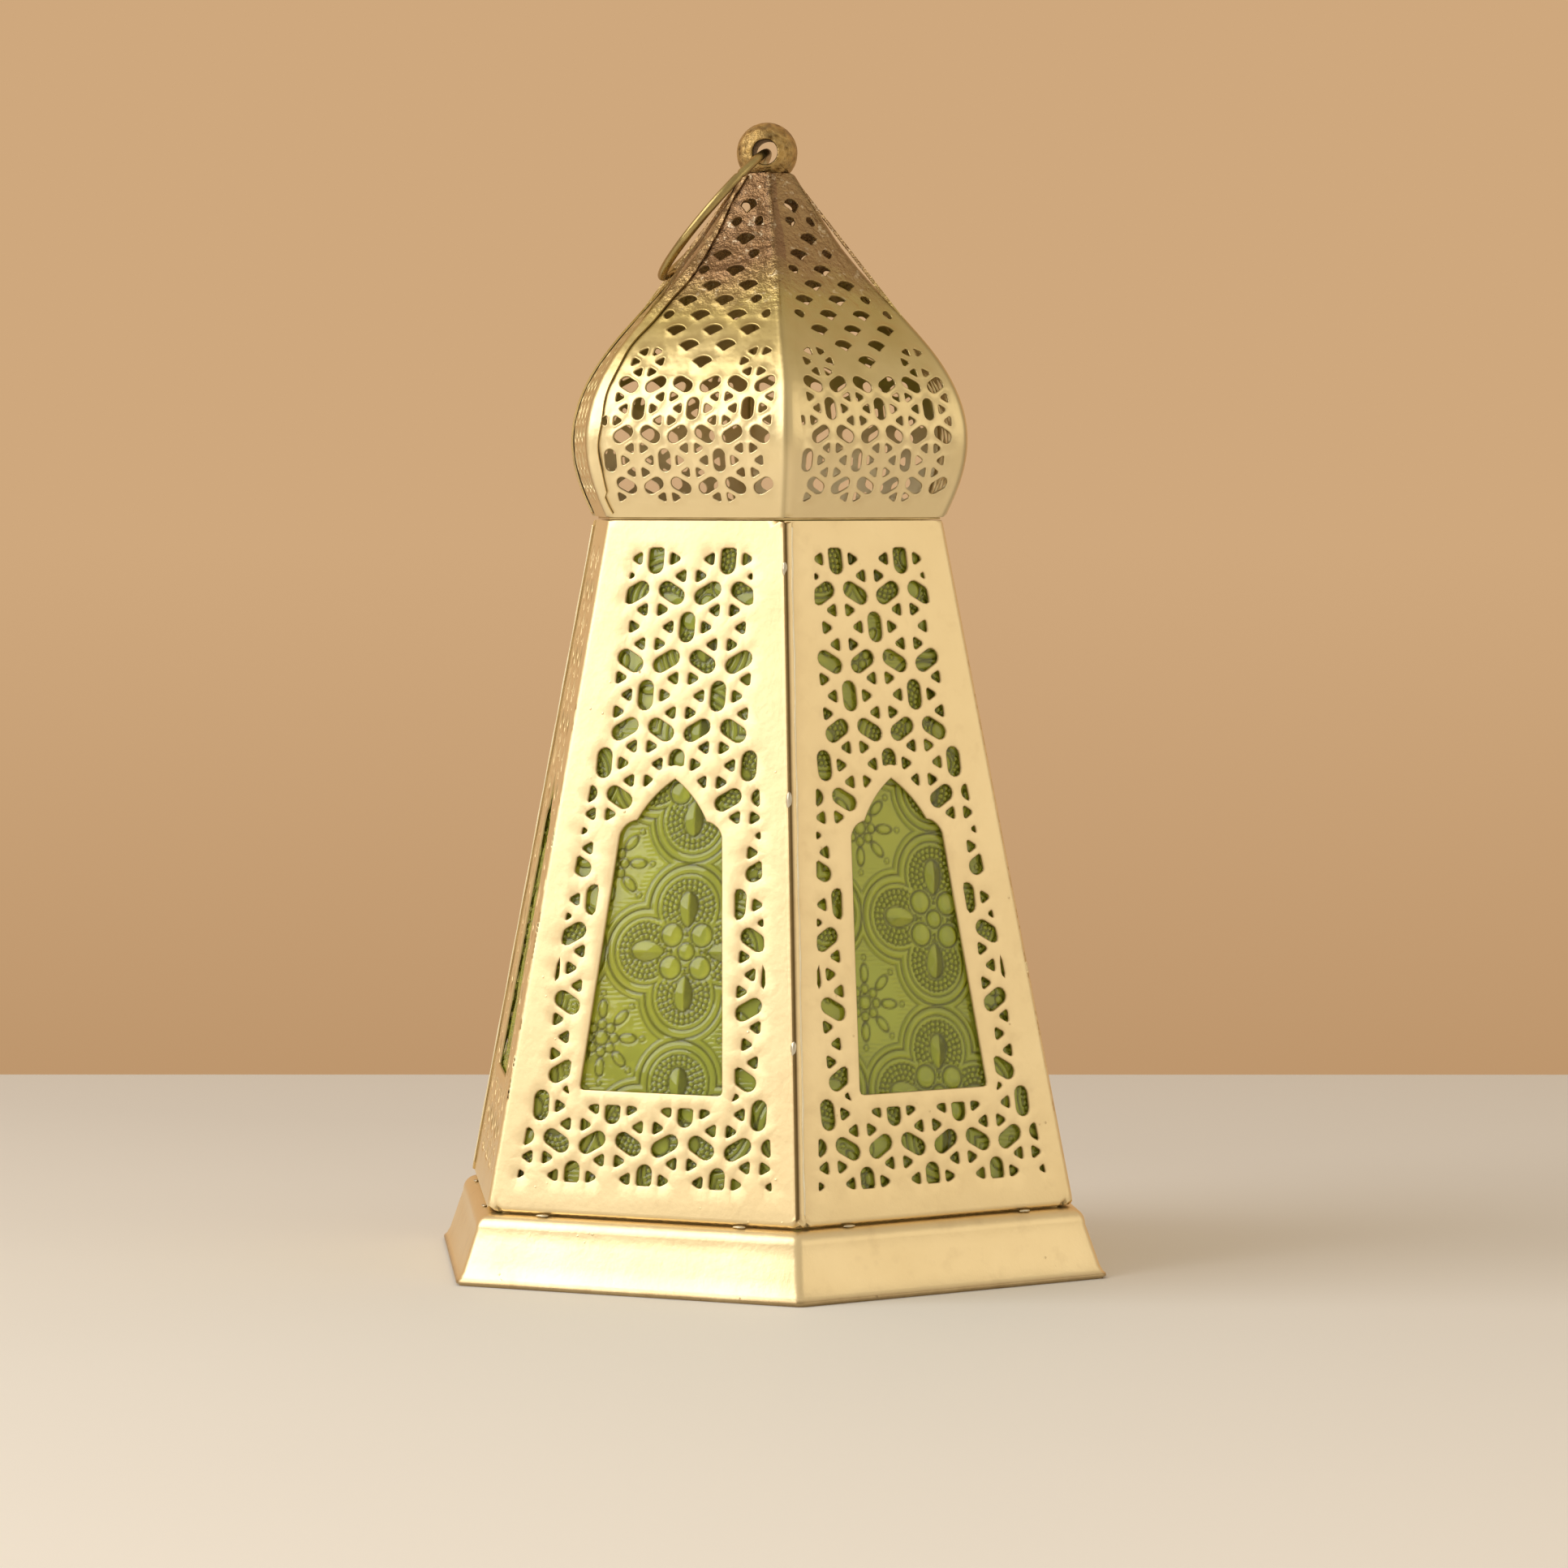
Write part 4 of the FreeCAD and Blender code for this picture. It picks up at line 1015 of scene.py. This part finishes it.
def build_dome():
    """Six petals, each with a strip that laps over its right neighbour."""
    holes = dome_holes()
    high, lap = DOME.high, 3.3
    places = ("front", "front_right", "rear_right", "rear", "rear_left", "front_left")
    for index, name in enumerate(places):
        azimuth = index * 60
        beside_ring = azimuth in (60, 120)
        dent, lift = (0.10, 0.45) if beside_ring else (0.32, 0.65)
        source = np.random.default_rng(40 + index)
        phases = source.uniform(0, 2 * PI, 4)

        def lap_width(up):
            wave = 0.35 * math.sin(up / 6.0 + phases[0]) + 0.22 * math.sin(up / 2.3 + phases[1])
            jog = -0.9 if up < 5.0 else 0.0
            narrow = min(1.0, max(0.35, (high - up) / 22))
            return (lap + wave + jog) * narrow

        def right_edge(up):
            return float(DOME.half(up)) + lap_width(up)

        def left_edge(up):
            return 0.15 - float(DOME.half(up))

        def place(points, depth):
            x, up = points[:, 0], points[:, 1]
            swell = 0.10 * ripple(x, up, 60 + index, 7, 30)
            dents = dent * ripple(x, up, 80 + index, 2.5, 7, 10) * smooth_step(55, 80, up)
            depth = depth + (swell + dents) * smooth_step(0, 5, up)
            fold = ridge_radius(up)
            return turned(DOME.place(points, depth, (fold, True, lift), (fold, False, 0.0)), azimuth)

        def stain_and_shade(points):
            """Painted shade: the dark band in the bend along the ridge."""
            past = points[:, 0] - DOME.half(points[:, 1])
            return 0.7 * line_at(past + 0.3, 0.6)

        shell = Shell()
        outline = sheet_outline(0.0, high, right_edge, left_edge, 0.9, 22, 6)
        levels = np.arange(0.5, high - 0.4, 0.9)
        bends = np.array(bend_rows(DOME, ridge_radius, [1], [-1], levels, lap_width))
        pierced_sheet(shell, outline, holes, place, 0.45, bends, stain_and_shade, 2.0, RAISED_RIM)
        brass = PETAL_BRASS["front" if azimuth in (0, 180) else "front_right"]
        petal = shell.build("petal_" + name, brass, sharp=55)
        install(petal, "lantern", "satin_brass", "dome_petal_" + name)


# ---------------------------------------------------------------- glass


PERIOD = 42.0


def medallion(x, y):
    """A four-lobed medallion round the origin: relief, painted dark lines and the distance from its
    lobes.
    """
    swap = np.abs(y) > np.abs(x)
    long = np.where(swap, np.abs(y), np.abs(x)) - 10.6
    wide = np.where(swap, x, y)
    lobe = np.hypot(long, wide)
    relief = 0.45 * line_at(lobe - 10.9, 0.45) + 0.35 * line_at(lobe - 9.0, 0.55)
    relief += 0.30 * line_at(lobe - 7.5, 0.35)
    dark = line_at(lobe - 10.15, 0.30) + 0.9 * line_at(lobe - 8.15, 0.26)
    dark += 0.7 * line_at(lobe - 11.75, 0.24)
    ring = 1.0 + np.round((lobe - 1.0) / 1.28) * 1.28
    count = np.maximum(np.round(2 * PI * ring / 1.4), 1)
    nearest = np.round(np.arctan2(wide, long) * count / (2 * PI)) * 2 * PI / count
    bead = np.hypot(long - ring * np.cos(nearest), wide - ring * np.sin(nearest))
    drop = np.hypot((long + 0.5) / 4.3, wide / (2.5 + 0.12 * long))
    ridge = np.clip(1 - drop, 0, 1)
    inside = lobe < 7.1
    on_drop = drop < 1.1
    beads = 0.7 * bump_at(bead, 0.58)
    relief = np.where(inside, np.where(on_drop, ridge, beads), relief)
    bead_line = 0.8 * smooth_step(0.36, 0.62, bead)
    # Painted shade: one half of each drop is darker.
    shaded = smooth_step(0.0, 0.5, np.where(swap, x, -y)) * np.where(swap, 0.8, 0.35) * (drop < 1)
    drop_line = 0.9 * line_at((drop - 1.0) * 2.5, 0.22) + shaded
    dark = np.where(lobe < 12.6, dark, 0.0)
    dark = np.where(inside, np.where(on_drop, drop_line, bead_line), dark)
    corner = np.hypot(np.abs(x) - 3.9, np.abs(y) - 3.9)
    on_bulb = corner < 3.4
    relief = np.where(on_bulb, 0.6 * bump_at(corner, 2.5), relief)
    dark = np.where(on_bulb, line_at(corner - 2.8, 0.32), dark)
    away = np.hypot(x, y)
    on_knob = away < 2.7
    relief = np.where(on_knob, 0.9 * bump_at(away, 1.9), relief)
    return relief, np.where(on_knob, line_at(away - 2.15, 0.3), dark), lobe


def daisy(x, y):
    """Relief and painted dark lines of an eight-petalled daisy round the origin."""
    away = np.hypot(x, y)
    petal = (np.arctan2(y, x) + PI / 8) % (PI / 4) - PI / 8
    along, beside = away * np.cos(petal), away * np.sin(petal)
    ring = np.hypot(along - 3.3, beside)
    leaf = np.hypot((along - 7.0) / 2.2, beside / 1.15)
    tick = np.hypot(along - 10.8, beside)
    relief = 0.5 * bump_at(away, 1.4) + 0.45 * bump_at(ring, 0.9)
    relief += 0.4 * bump_at(leaf, 0.9) + 0.3 * bump_at(tick, 0.5)
    dark = line_at(away - 1.7, 0.26) + line_at(ring - 1.15, 0.22)
    dark += line_at((leaf - 1.0) * 1.5, 0.28) + 0.7 * line_at(tick - 0.7, 0.2)
    return np.where(away < 13, relief, 0.0), np.where(away < 13, dark, 0.0)


def glass_relief(x, y, origin, degrees):
    """The pressed pattern: medallions on a square lattice, daisies between them, and fine ribs."""
    angle = math.radians(degrees)
    dx, dy = x - origin[0], y - origin[1]
    u = dx * math.cos(angle) + dy * math.sin(angle)
    v = dy * math.cos(angle) - dx * math.sin(angle)
    mu = (u + PERIOD / 2) % PERIOD - PERIOD / 2
    mv = (v + PERIOD / 2) % PERIOD - PERIOD / 2
    relief, dark, lobe = medallion(mu, mv)
    du = u % PERIOD - PERIOD / 2
    dv = v % PERIOD - PERIOD / 2
    flower, flower_dark = daisy(du, dv)
    field = smooth_step(12.0, 12.6, lobe)
    patchy = smooth_step(-0.25, 0.25, ripple(x, y, 5, 20, 50))
    patchy = patchy * smooth_step(9.0, 10.5, np.hypot(du, dv))
    ribs = np.sin(v * 2 * PI / 1.05) * patchy
    relief = relief + field * (flower + 0.10 * ribs)
    dark = dark + field * (flower_dark + 0.22 * np.clip(-ribs, 0, 1))
    return relief, np.clip(dark, 0, 1)


def build_glass():
    """Pressed panes. Each has the same pattern, cut from the sheet at another place."""
    low, high, inset = 6.0, SLANT - 6.2, 3.2
    step = 0.34
    rows = int((high - low) / step)
    columns = int(2 * (BODY.half((low + high) / 2) - inset) / step)
    face, thick, deepest, proudest = -1.35, 1.55, -2.4, -0.82
    places = {
        "front": (0, (5.9, 64.4), 1.0),
        "front_right": (60, (9.1, 71.3), -5.2),
        "rear_right": (120, (-4.0, 58.0), 2.0),
        "rear_left": (240, (2.0, 80.0), -2.0),
        "front_left": (300, (-8.0, 69.0), 3.0),
        "door": (180, (0.0, 66.0), 0.0),
    }
    ups = np.repeat(np.linspace(low, high, rows), columns)
    shares = np.tile(np.linspace(-1, 1, columns), rows)
    across = shares * (BODY.half(ups) - inset)
    flat = np.stack([across, ups], 1)
    rim = list(range(columns)) + [row * columns + columns - 1 for row in range(1, rows)]
    rim += list(range(rows * columns - 2, (rows - 1) * columns - 1, -1))
    rim += [row * columns for row in range(rows - 2, 0, -1)]
    for name, (azimuth, origin, degrees) in places.items():
        shell = Shell()
        # The second value is painted shade for the pattern's lines, which also sinks the surface a
        # little.
        relief, groove_and_shade = glass_relief(across, ups, origin, degrees)
        depth = np.clip(face + relief * 0.5 - groove_and_shade * 0.1, deepest, proudest)
        depth[rim] = face
        shell.add(turned(BODY.place(flat, depth, PLAIN, PLAIN), azimuth), groove_and_shade)
        shell.grid(rows, columns)
        border = shell.row(turned(BODY.place(flat[rim], face - thick, PLAIN, PLAIN), azimuth))
        shell.bridge(rim, border, flip=True)
        shell.faces.append(tuple(border)[::-1])
        pane = shell.build("pane_" + name, GLASS, sharp=60)
        node = "door_glass" if name == "door" else "glass_" + name
        install(pane, "door" if name == "door" else "lantern", "green_glass", node)


# ---------------------------------------------------------------- base, finial and ring


def rounded_hexagon(flat, radius, steps=5, spacing=6):
    """A hexagon at a flat-to-centre distance, with its corners rounded. Every one has the same number
    of points."""
    points = []
    cut = radius * TAN
    half = flat * TAN
    for side in range(SIDES):
        middle = side * 60.0
        for share in np.linspace(-1, 1, spacing * 2 + 1):
            points.append(turned_point(share * (half - cut), -flat, 0.0, middle))
        for index in range(1, steps):
            offset = outward(60.0 * index / steps) * radius
            points.append(turned_point(half - cut + offset[0], -flat + radius + offset[1], 0.0, middle))
    return np.array(points)


def build_base():
    """The flared skirt, pressed in one piece, with a hem at its foot and a soft shoulder."""
    foot, shoulder = 90.6 * FLAT, BODY_FOOT
    waist, bend_start, top, thick = shoulder + 2.6, 12.8, 16.8, 0.7
    hem = ((0.7, 0.0), (0.65, 0.45), (0.1, 0.5), (0.0, 0.75), (0.15, 1.2), (0.75, 1.7), (1.0, 2.2))
    outside = [(foot - inward, level) for inward, level in hem]
    low, high = np.array((foot - 1.6, 3.2)), np.array((waist, bend_start))
    outside += [tuple(low + (high - low) * share) for share in (0.0, 0.25, 0.5, 0.75, 1.0)]
    for index in range(1, 8):
        angle = PI / 2 * index / 8
        level = bend_start + (top - bend_start) * math.sin(angle)
        outside.append((waist - 3.6 * (1 - math.cos(angle)), level))
    outside += [(shoulder - inward, top) for inward in (1.2, 4.0, 13.0)]
    inside = [
        (distance - thick, level - (thick if level > bend_start + 0.2 else 0.0))
        for distance, level in outside[::-1]
    ]
    shell = Shell()
    rows = []
    for distance, level in outside + inside:
        ring = rounded_hexagon(distance, 2.4)
        ring[:, 2] = level
        sway = 0.10 * ripple(ring[:, 0], ring[:, 1] + level, 90, 20, 70) * (3 < level < 16)
        ring[:, :2] *= (1 + sway / distance)[:, None]
        # Painted shadow: the rows at the hem's foot get 0.7 on the edge attribute, darkening it where
        # it meets the table.
        rows.append(shell.row(ring, 0.7 if level < 1.5 else 0.0))
    shell.loft(rows + rows[:1])
    skirt = shell.build("skirt", BASE_BRASS, sharp=50)
    install(skirt, "lantern", "satin_brass", "base_skirt")


def build_ball():
    """A bored ball, with the eye's rim turned in and a rough gilt surface."""
    shell = Shell()
    axis = outward(RING_AZIMUTH)
    other = outward(RING_AZIMUTH + 90)
    upright = np.array([0.0, 0.0, 1.0])
    middle = upright * BALL_Z
    around = np.linspace(0, 2 * PI, 72, endpoint=False)
    eye = EYE_RADIUS + 0.05
    first = math.asin((eye + 0.5) / BALL_RADIUS)
    angles = np.linspace(first, PI - first, 44)
    stations = [(BALL_RADIUS * math.cos(angle), BALL_RADIUS * math.sin(angle)) for angle in angles]
    mouth = BALL_RADIUS * math.cos(first)
    stations += [(-mouth + 0.12, eye + 0.18), (-mouth + 0.5, eye)]
    stations += [(-mouth + 0.5 + (2 * mouth - 1.0) * share, eye) for share in (0.25, 0.5, 0.75, 1.0)]
    stations += [(mouth - 0.12, eye + 0.18)]
    rows = []
    for along, radius in stations:
        circle = np.cos(around)[:, None] * other + np.sin(around)[:, None] * upright
        ring = middle + axis * along + radius * circle
        if radius > eye + 0.4:
            x, y, z = ((ring - middle) / BALL_RADIUS).T
            lumps = ripple(x * 20 + z * 9, y * 20 - z * 13, 33, 3, 9, 12)
            ring = middle + (ring - middle) * (0.993 + 0.012 * lumps)[:, None]
        # The bore's rows get 0.9 on the edge attribute: painted shade inside the eye.
        rows.append(shell.row(ring, 0.0 if radius > eye + 0.1 else 0.9))
    shell.loft(rows + rows[:1])
    ball = shell.build("ball", GOLD, sharp=60)
    install(ball, "lantern", "antique_brass", "finial_ball")


def build_ring():
    """The bent wire ring, a little out of true, with its ends butted."""
    lean = math.radians(RING_LEAN)
    along = outward(RING_AZIMUTH)
    level = outward(RING_AZIMUTH - 90)
    down = level * math.sin(lean) - np.array([0.0, 0.0, math.cos(lean)])
    middle = np.array([0.0, 0.0, BALL_Z]) + down * RING_RADIUS
    shell = Shell()
    rows = []
    count, joint = 160, 2.2
    section = np.linspace(0, 2 * PI, 20, endpoint=False)
    normal = np.cross(along, down)
    for index in range(count):
        angle = 2 * PI * index / count
        spoke = down * math.cos(angle) + along * math.sin(angle)
        wobble = 0.06 * math.sin(3 * angle + 0.6)
        gap = min(abs(angle - joint), 2 * PI - abs(angle - joint)) * RING_RADIUS
        thin = 1 - 0.28 * math.exp(-((gap / 0.35) ** 2))
        centre = middle + spoke * (RING_RADIUS + wobble * 0.5) + normal * wobble * 0.4
        circle = np.cos(section)[:, None] * spoke + np.sin(section)[:, None] * normal
        rows.append(shell.row(centre + circle * RING_WIRE * thin))
    shell.loft(rows + rows[:1], flip=True)
    ring = shell.build("ring_wire_loop", WIRE)
    install(ring, "ring", "brass_wire", "hanging_ring")


def build_solder():
    """Lumps of solder down two seams and under the body's foot, and the laps' bright edges."""
    lumps = Shell()
    for azimuth in (30, 270):
        out = outward(azimuth)
        low = out * 82.0 + np.array([0, 0, BODY_LOW])
        high = out * 47.1 + np.array([0, 0, BODY_TOP])
        for share, size in ((0.25, 1.0), (0.6, 1.15), (0.93, 0.95)):
            place = low + (high - low) * share - out * 0.3
            lump = (0.75 * size, 0.75 * size, 2.0 * size)
            blob(lumps, place, lump, azimuth, 3 + azimuth + share)
    install(lumps.build("seam_blobs", SOLDER), "lantern", "solder", "seam_solder")
    laps = Shell()
    seam_bead(laps, 60, 71)
    seam_bead(laps, -60, 72)
    install(laps.build("seam_edges", CUT_EDGE), "lantern", "solder")
    tabs = Shell()
    for azimuth in (0, 60, 120, 240, 300):
        for side in (-1, 1):
            place = turned_point(side * 26.0, -BODY_FOOT + 0.1, 17.0, azimuth)
            blob(tabs, place, (1.7, 0.7, 0.32), azimuth, azimuth + side)
    install(tabs.build("foot_blobs", SOLDER), "lantern", "solder", "foot_solder")


def seam_bead(shell, azimuth, seed):
    """The bright, wavering cut edge of a lap, along the left edge of the side at an azimuth."""
    levels = np.linspace(3.0, SLANT - 1.5, 420)
    source = np.random.default_rng(seed)
    first, second, third = source.uniform(0, 2 * PI, 3)
    wave = 0.10 * np.sin(levels / 5.3 + first) + 0.06 * np.sin(levels / 1.7 + second)
    across = LAP_REACH - BODY.half(levels) + wave
    thick = 0.27 + 0.05 * np.sin(levels / 2.9 + third)
    section = np.linspace(0, 2 * PI, 10, endpoint=False)
    rows = []
    for up, place, radius in zip(levels, across, thick):
        flat = np.stack([place + radius * np.cos(section), np.full(len(section), up)], 1)
        circle = BODY.place(flat, 0.5 + radius * np.sin(section), PLAIN, PLAIN)
        rows.append(shell.row(turned(circle, azimuth)))
    shell.loft(rows)
    shell.faces.append(tuple(rows[0])[::-1])
    shell.faces.append(tuple(rows[-1]))


def blob(shell, place, size, azimuth, seed):
    """A lumpy drop, closed at both ends."""
    rows = []
    columns = 18
    angles = np.linspace(0, 2 * PI, columns, endpoint=False)
    bottom = shell.add([place - (0, 0, size[2])])
    for index in range(1, 10):
        tilt = PI * index / 10
        x, y = np.cos(angles) * math.sin(tilt), np.sin(angles) * math.sin(tilt)
        ring = np.stack([x, y, np.full(columns, -math.cos(tilt))], 1)
        wave = int(abs(seed) * 10) % 97
        lump = 1 + 0.14 * ripple(x * 10 + seed, y * 10 + ring[:, 2] * 7, wave, 6, 14, 5)
        rows.append(shell.row(turned(ring * lump[:, None] * np.array(size), azimuth) + place))
    top = shell.add([place + (0, 0, size[2])])
    shell.loft(rows)
    for column in range(columns):
        after = (column + 1) % columns
        shell.faces.append((bottom, rows[0][after], rows[0][column]))
        shell.faces.append((top, rows[-1][column], rows[-1][after]))


def dress_nodes():
    """Gives the CAD's own parts their metals, and breaks their sharp edges."""
    steel = ("candle_cup", "cup_rivet", "catch_rivet", "catch_spring", "hinge_pins")
    metals = {name: STEEL for name in steel + ("finial_washer", "finial_screw")}
    metals.update({"base_plate": INNER, "neck_ring": INNER, "dome_solder": SOLDER})
    metals.update({"glass_clips": AGED, "door_glass_clips": AGED, "door_knob": GOLD})
    metals.update({"frame_knuckles": BODY_BRASS, "door_knuckles": BODY_BRASS})
    for name, metal in metals.items():
        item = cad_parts[name]
        for slot in item.material_slots:
            slot.material = metal
        if not item.material_slots:
            item.data.materials.append(metal)
        bevel = item.modifiers.new("bevel", "BEVEL")
        bevel.width = 0.00012
        bevel.segments = 2
        bevel.limit_method = "ANGLE"
        bevel.angle_limit = math.radians(40)


# ---------------------------------------------------------------- stage, light and camera


def build_stage():
    """A pale table top, whose far edge lies behind the lantern as the camera sees it."""
    near, far, wide, drop, steps = -9000.0, 463.0, 9000.0, 30.0, 24
    across = np.linspace(-wide, wide, steps)
    stations = [(near, 0.0), (-900.0, 0.0), (0.0, 0.0), (far - 2, 0.0)]
    stations += [(far - 0.6, -0.6), (far, -2.0), (far, -drop)]
    shell = Shell()
    rows = []
    for along, level in stations:
        points = np.stack([across, np.full(steps, along), np.full(steps, level)], 1)
        rows.append(shell.row(turned(points, CAMERA_AZIMUTH)))
    shell.loft(rows, closed=False)
    shell.build("table", floor_paint_and_shade("table_paint_and_shade"), sharp=60)


def area_light(name, place, aim, size, power, colour):
    data = bpy.data.lights.new(name, "AREA")
    data.shape = "RECTANGLE"
    data.size, data.size_y = size
    data.energy = power
    data.color = colour
    light = bpy.data.objects.new(name, data)
    light.location = place
    light.rotation_euler = (Vector(aim) - Vector(place)).to_track_quat("-Z", "Y").to_euler()
    bpy.context.scene.collection.objects.link(light)


def build_light():
    """A big soft light on the left, a pale room in front, and a tan paper wall behind."""
    world = bpy.data.worlds.new("studio")
    bpy.context.scene.world = world
    world.use_nodes = True
    tree = world.node_tree
    background = tree.nodes["Background"]
    coords = tree.nodes.new("ShaderNodeTexCoord")

    def share_between(low, high):
        node = tree.nodes.new("ShaderNodeMapRange")
        node.inputs["From Min"].default_value = low
        node.inputs["From Max"].default_value = high
        return node

    def mix(*colours):
        node = tree.nodes.new("ShaderNodeMix")
        node.data_type = "RGBA"
        for place, colour in enumerate(colours):
            node.inputs[6 + place].default_value = (*colour, 1)
        return node

    behind = tree.nodes.new("ShaderNodeVectorMath")
    behind.operation = "DOT_PRODUCT"
    behind.inputs[1].default_value = tuple(-outward(CAMERA_AZIMUTH))
    share = share_between(0.1, 0.8)
    share.interpolation_type = "SMOOTHSTEP"
    split = tree.nodes.new("ShaderNodeSeparateXYZ")
    level = share_between(-0.11, -0.01)
    wall = mix((0.50, 0.295, 0.145), (0.625, 0.392, 0.205))
    room = mix((0.59, 0.525, 0.425))
    tree.links.new(coords.outputs["Generated"], behind.inputs[0])
    tree.links.new(coords.outputs["Generated"], split.inputs[0])
    tree.links.new(behind.outputs["Value"], share.inputs["Value"])
    tree.links.new(split.outputs["Z"], level.inputs["Value"])
    tree.links.new(level.outputs[0], wall.inputs["Factor"])
    tree.links.new(share.outputs[0], room.inputs["Factor"])
    tree.links.new(wall.outputs[2], room.inputs[7])
    tree.links.new(room.outputs[2], background.inputs["Color"])
    background.inputs["Strength"].default_value = 1.0
    aim = (0, 0, 0.13)
    area_light("key", (-1.25, -1.15, 1.25), aim, (1.6, 1.6), 22.5, (1.0, 0.985, 0.97))
    area_light("fill", (1.9, 0.2, 0.8), aim, (1.2, 1.2), 2.5, (1.0, 0.90, 0.74))


def build_camera():
    """Level with the dome's foot, tilted slightly down, with a long lens in millimetres."""
    distance, level = 1.4711, 0.1909
    turn, pitch, yaw, roll = math.radians(CAMERA_AZIMUTH), 0.04985, 0.00284, -0.0004
    data = bpy.data.cameras.new("camera")
    data.sensor_width = 36.0
    data.lens = 137.07764
    data.clip_start = 0.05
    camera = bpy.data.objects.new("camera", data)
    camera.location = (distance * math.sin(turn), -distance * math.cos(turn), level)
    camera.rotation_mode = "XYZ"
    camera.rotation_euler = (PI / 2 - pitch, roll, turn - yaw)
    bpy.context.scene.collection.objects.link(camera)
    bpy.context.scene.camera = camera
    bpy.context.scene.view_settings.view_transform = "Standard"


build_body()
build_dome()
build_glass()
build_base()
build_ball()
build_ring()
build_solder()
dress_nodes()
build_stage()
build_light()
build_camera()
